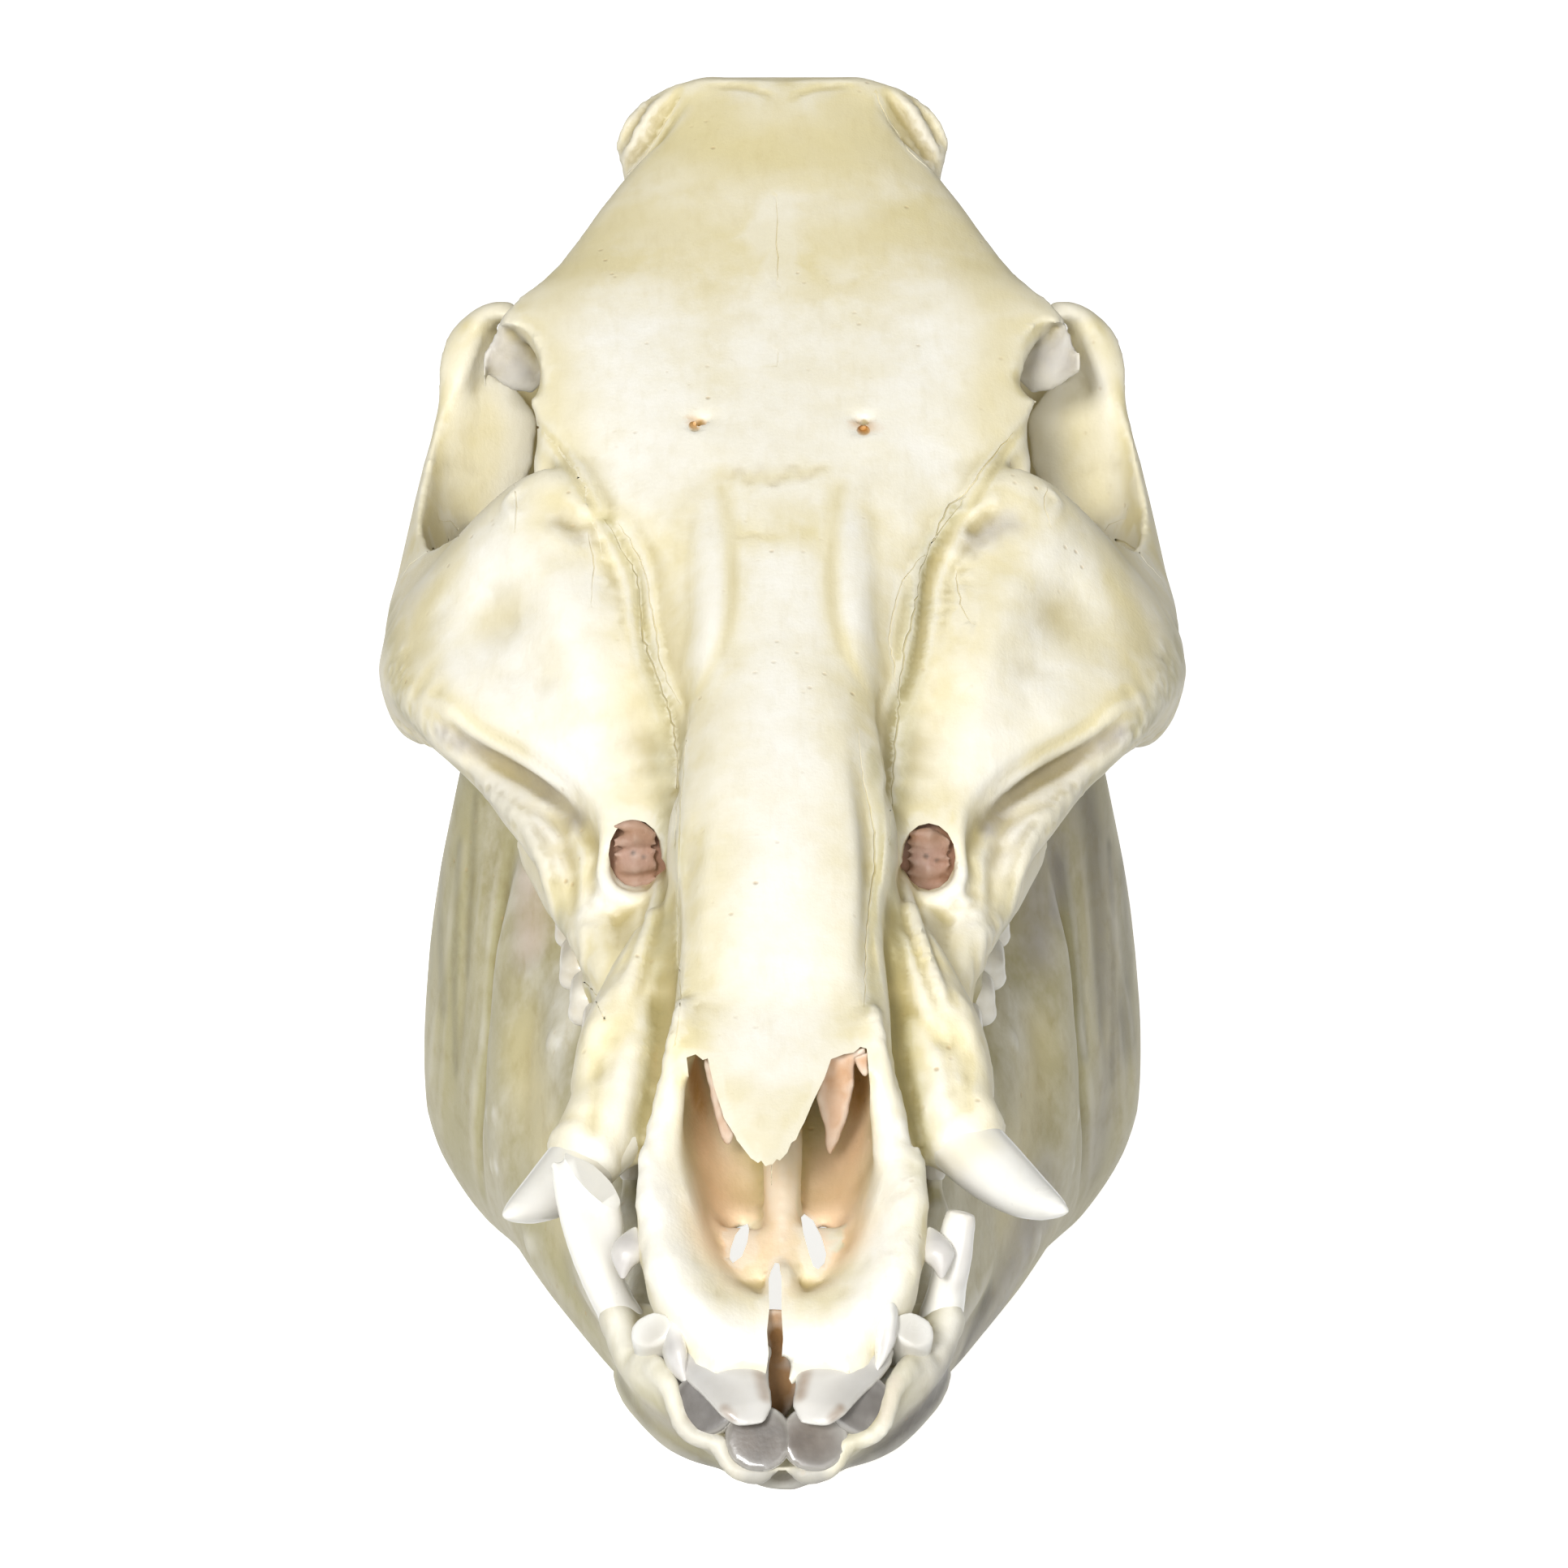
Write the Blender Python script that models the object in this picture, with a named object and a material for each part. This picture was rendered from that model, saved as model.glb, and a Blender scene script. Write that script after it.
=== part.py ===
"""Skull of a grown domestic pig, cranium and lower jaw together, standing on its lower jaw.

Lengths are in millimetres. Every piece is laid out in the skull's own frame: x runs to the
animal's left, y runs back from the front edge of the snout, z runs up from the floor.
"""

import bmesh
import bpy
import numpy as np
from math import cos, pi, sin
from mathutils import Vector

# Driving dimensions
MM = 0.001
SNOUT_TO_CREST = 309.0
CREST_HEIGHT = 215.0
JOINT_GAP = 0.3
VOXEL = 1.5
CRANIUM_FACES = 6000
MANDIBLE_FACES = 3200

for old in list(bpy.data.objects):
    bpy.data.objects.remove(old, do_unlink=True)


# Curves and rings

def along(pairs, place):
    """The size at one place, on a smooth curve through (place, size) pairs that never overshoots."""
    keys = np.array([pair[0] for pair in pairs], float)
    sizes = np.array([pair[1] for pair in pairs], float)
    place = min(max(place, keys[0]), keys[-1])
    steps = np.diff(keys)
    slopes = np.diff(sizes) / steps
    tangents = np.empty(len(keys))
    tangents[0], tangents[-1] = slopes[0], slopes[-1]
    for i in range(1, len(keys) - 1):
        before, after = slopes[i - 1], slopes[i]
        level = before * after <= 0
        tangents[i] = 0.0 if level else 2 * before * after / (before + after)
    i = min(int(np.searchsorted(keys, place, "right")) - 1, len(steps) - 1)
    step = steps[i]
    t = (place - keys[i]) / step
    start = (1 + 2 * t) * (1 - t) ** 2 * sizes[i] + t * (1 - t) ** 2 * step * tangents[i]
    return float(start + t * t * (3 - 2 * t) * sizes[i + 1] + t * t * (t - 1) * step * tangents[i + 1])


def rounded(corners, each, closed=True):
    """Points on a smooth curve through the corners, with the same number from each to the next."""
    corners = [Vector(corner) for corner in corners]
    count = len(corners)
    spans = count if closed else count - 1
    points = []
    for i in range(spans):
        if closed:
            a, b, c, d = (corners[(i + k) % count] for k in (-1, 0, 1, 2))
        else:
            a, b, c, d = (corners[min(max(i + k, 0), count - 1)] for k in (-1, 0, 1, 2))
        for k in range(each):
            t = k / each
            point = 2 * b + (c - a) * t + (2 * a - 5 * b + 4 * c - d) * t * t
            points.append(0.5 * (point + (3 * b - a - 3 * c + d) * t ** 3))
    if not closed:
        points.append(corners[-1].copy())
    return points


def whole_ring(half, each=3):
    """A ring at one y, from (x, z) corners that run down its left side from top middle to bottom middle."""
    y, corners = half
    back_up = [(-x, z) for x, z in reversed(corners[1:-1])]
    return rounded([(x, y, z) for x, z in list(corners) + back_up], each)


def new_object(name, mesh):
    piece = bpy.data.objects.new(name, mesh)
    bpy.context.scene.collection.objects.link(piece)
    return piece


def loft(name, rings):
    """A closed solid through rings of equal count, with both ends filled."""
    shape = bmesh.new()
    loops = [[shape.verts.new(point * MM) for point in ring] for ring in rings]
    count = len(loops[0])
    for first, second in zip(loops, loops[1:]):
        for i in range(count):
            j = (i + 1) % count
            shape.faces.new((first[i], first[j], second[j], second[i]))
    for loop in (loops[0], loops[-1]):
        middle = shape.verts.new(sum((v.co for v in loop), Vector()) / count)
        for i in range(count):
            shape.faces.new((loop[i], loop[(i + 1) % count], middle))
    bmesh.ops.recalc_face_normals(shape, faces=shape.faces)
    mesh = bpy.data.meshes.new(name)
    shape.to_mesh(mesh)
    shape.free()
    return new_object(name, mesh)


def rod(name, path, widths, each=3, sides=10, flat=1.0, flat_way=(0, 0, 1)):
    """A round or flattened rod of changing width through the corners of a path."""
    places = rounded(path, each, closed=False)
    last = len(places) - 1
    keys = [(i / (len(widths) - 1), width) for i, width in enumerate(widths)]
    rings = []
    for i, place in enumerate(places):
        ahead = (places[min(i + 1, last)] - places[max(i - 1, 0)]).normalized()
        side = ahead.cross(Vector(flat_way)).normalized()
        up = side.cross(ahead)
        radius = along(keys, i / last) / 2
        angles = [2 * pi * k / sides for k in range(sides)]
        rings.append([place + radius * (cos(a) * side + flat * sin(a) * up) for a in angles])
    return loft(name, rings)


def ball(name, middle, radii, tilt=0.0):
    """A closed round lump with its own three radii, tilted nose down about x."""
    shape = bmesh.new()
    bmesh.ops.create_icosphere(shape, subdivisions=3, radius=1.0)
    for corner in shape.verts:
        x, y, z = (corner.co[k] * radii[k] for k in range(3))
        turned = Vector((x, y * cos(tilt) - z * sin(tilt), y * sin(tilt) + z * cos(tilt)))
        corner.co = (Vector(middle) + turned) * MM
    mesh = bpy.data.meshes.new(name)
    shape.to_mesh(mesh)
    shape.free()
    return new_object(name, mesh)


def mirrored(piece):
    """The same piece on the other side of the skull's middle plane."""
    shape = bmesh.new()
    shape.from_mesh(piece.data)
    for corner in shape.verts:
        corner.co.x = -corner.co.x
    bmesh.ops.reverse_faces(shape, faces=shape.faces)
    mesh = bpy.data.meshes.new(piece.name + "_mirror")
    shape.to_mesh(mesh)
    shape.free()
    return new_object(piece.name + "_mirror", mesh)


def both(piece):
    return [piece, mirrored(piece)]


# Joining and cutting

def settle(piece):
    """Applies the piece's modifiers."""
    bpy.context.view_layer.update()
    graph = bpy.context.evaluated_depsgraph_get()
    mesh = bpy.data.meshes.new_from_object(piece.evaluated_get(graph))
    piece.modifiers.clear()
    piece.data = mesh


def combine(piece, others, operation):
    """One Boolean of the piece with all the others, which are then removed."""
    group = bpy.data.collections.new(piece.name + "_" + operation.lower())
    bpy.context.scene.collection.children.link(group)
    for other in others:
        bpy.context.scene.collection.objects.unlink(other)
        group.objects.link(other)
    boolean = piece.modifiers.new(operation.title(), "BOOLEAN")
    boolean.operation = operation
    boolean.operand_type = "COLLECTION"
    boolean.collection = group
    boolean.solver = "EXACT"
    settle(piece)
    for other in others:
        bpy.data.objects.remove(other, do_unlink=True)
    bpy.data.collections.remove(group)
    return piece


def join(name, pieces):
    piece = combine(pieces[0], pieces[1:], "UNION")
    piece.name = name
    return piece


def cut(piece, cutters):
    return combine(piece, cutters, "DIFFERENCE")


def grow_together(piece, faces, passes=3):
    """Melts the joined forms into one skin of bone and thins it to about this many triangles."""
    remesh = piece.modifiers.new("Remesh", "REMESH")
    remesh.mode = "VOXEL"
    remesh.voxel_size = VOXEL * MM
    smooth = piece.modifiers.new("Smooth", "SMOOTH")
    smooth.factor = 0.5
    smooth.iterations = passes
    settle(piece)
    triangles = sum(len(face.vertices) - 2 for face in piece.data.polygons)
    thin = piece.modifiers.new("Decimate", "DECIMATE")
    thin.ratio = faces / triangles
    settle(piece)


def largest_only(piece):
    """Keeps the largest closed surface of the piece."""
    shape = bmesh.new()
    shape.from_mesh(piece.data)
    unseen = set(shape.verts)
    groups = []
    while unseen:
        group, edge = set(), [unseen.pop()]
        while edge:
            corner = edge.pop()
            group.add(corner)
            for link in corner.link_edges:
                other = link.other_vert(corner)
                if other in unseen:
                    unseen.remove(other)
                    edge.append(other)
        groups.append(group)
    keep = max(groups, key=len)
    bmesh.ops.delete(shape, geom=[v for v in shape.verts if v not in keep], context="VERTS")
    shape.to_mesh(piece.data)
    shape.free()


# Long body of the cranium: snout, palate, forehead and braincase in one loft.
# Each size is given at a few places along y.
TOP = ((0, 60), (8, 64), (18, 70), (34, 80), (58, 100), (100, 121.5), (150, 142), (190, 160),
       (235, 181), (280, 203), (303, 215))
ROOF_HALF = ((0, 7), (3, 12), (8, 17), (18, 21.5), (30, 23), (40, 21.5), (58, 17.6), (80, 18.5),
             (102, 20), (131, 19.6), (150, 25), (166, 29), (184, 36), (205, 47), (228, 55),
             (236, 56), (246, 51), (260, 45), (285, 33.8), (303, 20))
ROOF_DROP = ((0, 0.5), (34, 2), (58, 3.5), (100, 5), (166, 6), (190, 7), (205, 5), (235, 2.5),
             (246, 5), (260, 8), (285, 9), (303, 3))
EAVE = ((0, 3), (100, 8), (150, 10), (190, 10), (205, 8.5), (235, 8.5), (260, 12), (303, 14))
SIDE_HALF = ((0, 8), (3, 12.5), (8, 18), (18, 22.5), (34, 23.6), (58, 20), (80, 20.5), (100, 22),
             (125, 23), (150, 29), (175, 34), (190, 35), (205, 31), (235, 28), (255, 31),
             (280, 35), (303, 32))
FLANK_HALF = ((0, 8), (3, 12.5), (8, 17), (18, 20.6), (34, 20), (58, 23), (80, 27), (100, 32),
              (125, 36), (150, 40), (172, 41), (190, 35), (205, 28), (235, 25), (255, 29),
              (280, 34), (303, 28))
FLANK_Z = ((0, 57), (18, 63), (34, 68), (58, 78), (80, 84), (100, 88), (125, 92), (150, 98),
           (175, 104), (205, 120), (235, 128), (280, 140), (303, 150))
GUM_HALF = ((0, 7), (3, 10.5), (8, 14.5), (18, 18), (34, 18), (58, 22), (80, 27), (100, 31), (125, 35),
            (150, 38), (175, 39), (190, 33), (205, 24), (235, 20), (280, 20), (303, 16))
GUM_Z = ((0, 54), (18, 57.5), (34, 60), (58, 66), (80, 71), (100, 75.5), (125, 79.5), (150, 83.5),
         (175, 88), (190, 93), (205, 100), (235, 107), (280, 113), (303, 122))
PALATE_Z = ((0, 54), (18, 58), (34, 61), (58, 68), (80, 74), (100, 78), (125, 82), (150, 86),
            (175, 91), (190, 96), (205, 102), (235, 107), (280, 112), (303, 120))


def body_section(y):
    top, half, drop = along(TOP, y), along(ROOF_HALF, y), along(ROOF_DROP, y)
    side, flank = along(SIDE_HALF, y), along(FLANK_HALF, y)
    flank_z, gum_half, gum_z = along(FLANK_Z, y), along(GUM_HALF, y), along(GUM_Z, y)
    edge_z = top - drop
    eave_z = edge_z - along(EAVE, y)
    return y, (
        (0, top),
        (0.55 * half, top - 0.18 * drop),
        (half, edge_z),
        (min(side, half) * 0.35 + half * 0.65, eave_z),
        (side, 0.5 * (eave_z + flank_z)),
        (flank, flank_z),
        (gum_half, gum_z),
        (0.72 * gum_half, gum_z - 0.5),
        (0.55 * gum_half, along(PALATE_Z, y)),
        (0, along(PALATE_Z, y) + 1),
    )


body_places = [0, 1.5, 3.5, 6, 9, 13, 18] + list(range(24, 300, 7)) + [298, 303]
long_body = loft("long_body", [whole_ring(body_section(y)) for y in body_places])

# Nuchal crest with its two wings and the plate of bone under it, lofted upward.
# Each level gives its height, half width, front, back and how deep the plate is dished.
OCCIPUT_LEVELS = (
    (116, 14, 268, 290, 0), (124, 24, 266, 296, 0), (136, 34, 266, 297, 0), (150, 40, 268, 296, 1),
    (164, 37, 276, 297, 4), (178, 33, 284, 300, 7), (189, 32.5, 289, 303, 8), (196, 35, 292, 305, 7),
    (201, 36.4, 294, 306.5, 6), (205.5, 35, 296, 307.5, 4), (209.5, 31, 298, 308.5, 2.5),
    (212.8, 25, 300, SNOUT_TO_CREST, 1), (CREST_HEIGHT, 17.5, 302, SNOUT_TO_CREST, 0),
)


def level_ring(level):
    z, half, front, back, dish = level
    corners = [(0, back - dish), (0.5 * half, back - 0.8 * dish), (0.85 * half, back),
               (half, 0.35 * front + 0.65 * back), (0.85 * half, front + 1), (0.5 * half, front + 3),
               (0, front + 4)]
    other = [(-x, y) for x, y in reversed(corners[1:-1])]
    return rounded([(x, y, z) for x, y in corners + other], 3)


occiput = loft("occiput", [level_ring(level) for level in OCCIPUT_LEVELS])

# Cheek plate and zygomatic arch, as one plate swept from the snout round the orbit to the braincase.
# Each station gives the plate's top edge, outer bulge, lower edge and inner face.
ARCH_STATIONS = (
    ((14, 110, 112), (32, 110, 99), (30, 112, 88), (12, 114, 96)),
    ((17, 130, 124), (45, 127, 104), (41, 130, 94), (14, 134, 101)),
    ((23, 150, 137), (57, 146, 113), (50, 149, 101.5), (18, 154, 108)),
    ((31, 172, 148), (70, 166, 120), (60.5, 168, 105), (22, 176, 113)),
    ((44, 193, 159), (77.2, 186, 121), (69, 183, 104.5), (36, 194, 119)),
    ((56, 201, 147), (78, 203, 122), (73, 201, 104), (58, 206, 118)),
    ((68.5, 214, 136), (79, 217, 122), (73.5, 217, 104.5), (67, 217, 118)),
    ((73, 230, 137), (78.5, 231, 122), (73, 231, 106), (69, 229, 120)),
    ((72.8, 243, 143), (77.3, 244, 127), (72, 245, 110), (68, 242, 125)),
    ((70.3, 255, 155), (74.7, 256, 136), (70, 258, 114), (65.5, 254, 131)),
    ((62.5, 264, 174), (70, 267, 146), (65, 270, 117), (60, 262, 138)),
    ((52, 274, 159), (57, 283, 142), (53, 284, 118), (47, 274, 131)),
    ((34, 280, 152), (36, 290, 138), (34, 290, 122), (30, 276, 130)),
)


def plate_ring(station):
    """Eight corners round the plate, with its edges rounded."""
    top, outer, low, inner = (Vector(corner) for corner in station)
    bulge = 0.16
    over = top.lerp(outer, 0.5) + bulge * (outer - inner) * 0.5
    under = low.lerp(outer, 0.5) + bulge * (outer - inner) * 0.5
    return rounded([top, over, outer, under, low, low.lerp(inner, 0.5), inner, top.lerp(inner, 0.5)], 3)


def between(stations, each):
    """Stations with others set smoothly between them."""
    columns = [rounded([station[k] for station in stations], each, closed=False) for k in range(4)]
    return list(zip(*columns))


arch = loft("arch", [plate_ring(station) for station in between(ARCH_STATIONS, 3)])

# Lobes behind the orbits, the sockets of the upper tusks, and the lumps under the skull
postorbital = rod("postorbital", ((49, 237, 177), (52.5, 236.5, 172), (54.3, 235, 166.5), (54.6, 234, 161)),
                  (10, 13, 13.5, 9.5), flat=0.5, flat_way=(0, 1, 0))
tusk_socket = rod("tusk_socket", ((18, 98, 102), (23, 84, 95), (27.5, 70, 84), (28, 57, 76)),
                  (10, 15, 17, 14), flat=0.8)
tusk_crest = rod("tusk_crest", ((19, 99, 103), (26, 83, 95), (32, 71, 87), (31.5, 60, 79)), (4, 6, 6, 4))
condyle = ball("condyle", (14, 299, 124), (8.5, 8.5, 12), 0.4)
neck_spur = rod("neck_spur", ((27, 286, 138), (27, 284, 118), (25, 280, 93)), (19, 13, 5), flat=0.6)
ear_bulla = ball("ear_bulla", (19, 262, 106), (8, 11, 12), 0.2)
wing_of_palate = rod("wing_of_palate", ((17, 178, 96), (17, 200, 92), (16, 222, 96), (16, 240, 104)),
                     (12, 11, 8, 8), flat=1.4)
ear_tube = rod("ear_tube", ((34, 284, 150), (44, 284, 158), (50, 283, 166)), (18, 13, 10))

cranium = join("cranium", [long_body, occiput] + both(arch) + both(postorbital) + both(tusk_socket)
               + both(tusk_crest) + both(condyle) + both(neck_spur) + both(ear_bulla) + both(wing_of_palate)
               + both(ear_tube))

# Hollows: the nose, the brain opening, the choanae and the fossae under the facial crests
NOSE_FLOOR = ((8, 68), (20, 65), (45, 68), (70, 76), (112, 90))
NOSE_HALF = ((8, 3), (14, 7), (18, 11.5), (22, 13.8), (33, 15.8), (40, 16.8), (47, 17.2), (58, 14.5), (80, 13),
             (112, 9))
NOSE_ROOF = ((8, 90), (40, 112), (47, 112), (56, 95.5), (70, 103), (112, 118))


def nose_section(y):
    floor, half, roof = along(NOSE_FLOOR, y), along(NOSE_HALF, y), along(NOSE_ROOF, y)
    return y, ((0, roof), (0.6 * half, roof - 0.5), (half, 0.7 * roof + 0.3 * floor),
               (half, 0.35 * roof + 0.65 * floor), (0.6 * half, floor + 0.5), (0, floor))


nose_places = [12, 14, 17, 20] + list(range(24, 116, 6))
nose = loft("nose", [whole_ring(nose_section(y)) for y in nose_places])
brain_opening = ball("brain_opening", (0, 303, 140), (9.5, 26, 9.5), -0.2)
choana = rod("choana", ((0, 232, 94), (0, 205, 92), (0, 192, 98)), (19, 19, 13))
fossa = rod("fossa", ((38, 118, 92), (49, 140, 97), (63, 162, 94)), (5, 14, 10), flat=0.7)
infraorbital = rod("infraorbital", ((26.5, 108, 104), (25.5, 126, 102), (24, 150, 104)), (11.5, 10, 7),
                   flat=0.8)
cut(cranium, [nose, brain_opening, choana] + both(fossa) + both(infraorbital))
grow_together(cranium, CRANIUM_FACES)
largest_only(cranium)

# Nasal bones past the aperture, the ridge of the nasal septum, and the openings of the upper jaw
NASAL_HALF = ((19, 1.2), (24, 4.5), (32, 8.5), (42, 13.5), (48, 17.2), (60, 17.5), (90, 16))
NASAL_LEAN = ((19, -2.4), (45, -1.2), (90, 0))


def nasal_section(y):
    half, lean = along(NASAL_HALF, y), along(NASAL_LEAN, y)
    top = 86.5 + (y - 20) * 0.352 if y < 58 else 99.9 + (y - 58) * 0.5
    corners = [(0, top), (0.6 * half, top - 0.6), (half, top - 2.2), (0.7 * half, top - 4), (0, top - 3.6)]
    other = [(-x, z) for x, z in reversed(corners[1:-1])]
    return rounded([(x + lean, y, z) for x, z in corners + other], 2)


nasal_tip = loft("nasal_tip", [nasal_section(y) for y in (19, 21, 24, 28, 33, 38, 43, 48, 56, 66, 78)])
septum = rod("septum", ((0, 17, 64), (0, 32, 67.5), (0, 56, 74), (0, 84, 84)), (3.5, 6, 7, 7), sides=8)
fissure = rod("fissure", ((6.9, 22, 72.2), (7.2, 43, 62.8), (7.5, 66, 52.4)), (3.4, 3.6, 3.4), sides=8,
              flat=2.0, flat_way=(-0.3, 0, 1))
midline_slit = rod("midline_slit", ((0, -6, 66), (0, 8, 62), (0, 32, 51)), (2.1, 2.1, 2.1), sides=8, flat=8,
                   flat_way=(0, 0, 1))
brow_opening = rod("brow_opening", ((15.6, 198, 172), (15.6, 203, 160), (15.6, 208, 152)), (3, 3, 3), sides=6)

# Upper teeth. Each is a short worn crown with its root sunk in the jaw.
CHEEK_TEETH = (("p1", 8, 5), ("p2", 11, 6), ("p3", 12, 8), ("p4", 12, 11), ("m1", 14, 13), ("m2", 18, 15),
               ("m3", 25, 15))
UPPER_ROW = ((78, 27.5), (130, 32.5), (185, 35))
LOWER_ROW = ((78, 26), (130, 31), (185, 34.5))
BITE_Z = ((78, 66), (100, 69.5), (130, 74), (185, 83))
ROW_START = 81.0
ROOT = 7.0


def cheek_tooth(name, y, length, width, row, upper):
    """A crown with two rounded lobes, seen from above as a figure of eight, with low cusps."""
    x, bite = along(row, y), along(BITE_Z, y)
    way = 1 if upper else -1
    inner, outer = x - 0.5 * width, x + 0.5 * width
    gap = 0.4 * way
    waist = 0.12 * width
    outline = [(inner + 1, -0.46), (outer - 1, -0.46), (outer, -0.25), (outer - waist, 0), (outer, 0.25),
               (outer - 1, 0.46), (inner + 1, 0.46), (inner, 0.25), (inner + waist, 0), (inner, -0.25)]
    slope = 0.16
    rings = []
    for height, part in ((gap, 0.62), (gap + 1.2 * way, 0.9), (3.2 * way, 1.0), (ROOT * way + 5 * way, 0.8)):
        rings.append([Vector((x + (px - x) * part, y + py * length * part,
                              bite + height + slope * py * length * part)) for px, py in outline])
    return loft(name, rings)


def cheek_row(upper):
    row = UPPER_ROW if upper else LOWER_ROW
    teeth, y = [], ROW_START - (0 if upper else 3)
    for name, length, width in CHEEK_TEETH:
        wide = width if upper else 0.8 * width
        teeth.append(cheek_tooth(name, y + length / 2, length, wide, row, upper))
        y += length + 0.2
    return teeth


def incisor(name, root, tip, root_size, tip_size):
    """A chisel: round at its root and wide and flat at its worn edge."""
    root, tip = Vector(root), Vector(tip)
    ahead = (tip - root).normalized()
    side = Vector((1, 0, 0))
    side = (side - side.dot(ahead) * ahead).normalized()
    up = side.cross(ahead)
    rings = []
    for t in (0.0, 0.35, 0.7, 0.93, 1.0):
        wide = root_size[0] + (tip_size[0] - root_size[0]) * t
        thick = root_size[1] + (tip_size[1] - root_size[1]) * t
        if t == 1.0:
            wide, thick = 0.8 * wide, 0.55 * thick
        angles = [2 * pi * k / 10 for k in range(10)]
        middle = root.lerp(tip, t)
        rings.append([middle + 0.5 * (wide * cos(a) * side + thick * sin(a) * up) for a in angles])
    return loft(name, rings)


upper_teeth = []
for tooth in cheek_row(True):
    upper_teeth += both(tooth)
upper_teeth += both(incisor("i1", (8.6, 12, 62.3), (3.9, -5.6, 54.7), (13, 8), (7.2, 3.4)))
upper_teeth += both(incisor("i2", (15.2, 16, 64.5), (15.6, 4.5, 60.5), (5.5, 6), (4.4, 3)))
upper_teeth += both(incisor("i3", (19, 28, 72), (25, 19.5, 68.3), (6, 7), (5, 5.4)))

# Joined front of the lower jaw: a trough that carries the incisors and lower tusks
CHIN_RIM_HALF = ((-1, 4), (0, 6.3), (2, 12), (5, 17), (12, 22.5), (18, 25.6), (25, 27), (40, 26), (60, 26),
                 (82, 30))
CHIN_RIM_Z = ((-1, 42), (0, 42.7), (2, 45), (5, 48.3), (12, 53), (18, 56), (25, 57.5), (40, 55),
              (60, 52), (82, 55))
CHIN_TROUGH_Z = ((-1, 41.4), (2, 42.5), (8, 45), (25, 45), (50, 37), (72, 25), (82, 16))
CHIN_BOTTOM_Z = ((-1, 40), (5, 37.9), (12, 34.6), (20, 30.7), (30, 25.6), (40, 20.7), (50, 15.5), (60, 10),
                 (70, 4.6), (78, -0.4), (82, -0.6))
CHIN_SIDE_HALF = ((-1, 3.5), (2, 9), (12, 16.6), (20, 20), (30, 22.6), (40, 24.4), (60, 27), (80, 31))
CHIN_LOW_HALF = ((-1, 2.5), (2, 6), (12, 9.8), (20, 12.5), (30, 14.2), (40, 15.6), (60, 17), (80, 20))


def chin_section(y):
    rim, rim_z = along(CHIN_RIM_HALF, y), along(CHIN_RIM_Z, y)
    trough, bottom = along(CHIN_TROUGH_Z, y), along(CHIN_BOTTOM_Z, y)
    side, low = along(CHIN_SIDE_HALF, y), along(CHIN_LOW_HALF, y)
    return y, ((0, trough), (0.45 * rim, trough + 0.15 * (rim_z - trough)), (0.8 * rim, rim_z - 0.5),
               (rim, rim_z - 1.5), (side, 0.5 * (rim_z + bottom)), (low, bottom + 0.22 * (rim_z - bottom)),
               (0.45 * low, bottom + 0.05 * (rim_z - bottom)), (0, bottom))


chin_places = [-1, 0, 1, 2.5, 4.5, 7, 11, 16, 22, 30, 38, 46, 54, 62, 70, 76, 80]
chin = loft("chin", [whole_ring(chin_section(y)) for y in chin_places])

# One side of the lower jaw, from the symphysis through the tooth row to the angle and the ramus.
# Outer surface at four heights, from the lower edge up.
JAW_TOP = ((28, 50), (60, 50), (75, 53), (90, 57), (110, 61), (130, 65), (150, 69.5), (168, 75), (182, 82),
           (194, 93), (202, 107), (209, 122), (215, 126), (222, 121), (232, 117), (240, 110), (244, 98))
JAW_FOOT = ((28, 30), (60, 14), (75, 4), (88, -0.3), (100, 0.8), (115, 4), (130, 6.5), (150, 7), (170, 4),
            (190, 0.6), (203, -0.8), (214, 0.8), (228, 14), (238, 40), (244, 70))
JAW_OUT_TOP = ((28, 20), (60, 24), (90, 30), (110, 34), (130, 37), (150, 41), (170, 46.5), (185, 52),
               (205, 57), (225, 58), (244, 57))
JAW_OUT_HIGH = ((28, 22), (60, 26), (90, 32), (110, 36.5), (130, 41), (150, 46.5), (170, 54), (185, 58.5),
                (205, 65), (225, 64), (244, 59))
JAW_OUT_MID = ((28, 20), (60, 26), (90, 33), (110, 38.5), (130, 45), (150, 52.5), (170, 58.5), (185, 63.5),
               (205, 70.5), (222, 71.5), (244, 62))
JAW_OUT_LOW = ((28, 14), (60, 19), (75, 21), (90, 26), (110, 37), (130, 46.5), (150, 53.5), (170, 59),
               (185, 65), (203, 73), (216, 73.5), (232, 69), (244, 60))
JAW_OUT_FOOT = ((28, 10), (60, 11), (75, 12), (88, 13.5), (100, 20), (115, 30), (130, 39), (150, 47),
                (170, 54), (190, 61), (210, 66), (228, 67), (244, 58))
JAW_THICK = ((28, 10), (75, 13), (110, 15), (150, 15), (170, 13), (185, 8), (205, 7), (225, 7.5), (240, 6),
             (244, 4))


def jaw_section(y):
    top, foot, thick = along(JAW_TOP, y), along(JAW_FOOT, y), along(JAW_THICK, y)
    tall = top - foot
    out_top, out_high, out_mid = along(JAW_OUT_TOP, y), along(JAW_OUT_HIGH, y), along(JAW_OUT_MID, y)
    out_low, out_foot = along(JAW_OUT_LOW, y), along(JAW_OUT_FOOT, y)
    return rounded([(x, y, z) for x, z in (
        (out_top - 0.5 * thick, top), (out_top, top - 0.06 * tall), (out_high, foot + 0.72 * tall),
        (out_mid, foot + 0.45 * tall), (out_low, foot + 0.2 * tall), (out_foot, foot + 0.02 * tall),
        (out_foot - 0.5 * thick, foot), (out_foot - thick, foot + 0.025 * tall),
        (out_low - 1.05 * thick, foot + 0.2 * tall),
        (out_mid - 1.1 * thick, foot + 0.45 * tall), (out_high - thick, foot + 0.72 * tall),
        (out_top - 0.95 * thick, top - 0.06 * tall))], 3)


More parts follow.
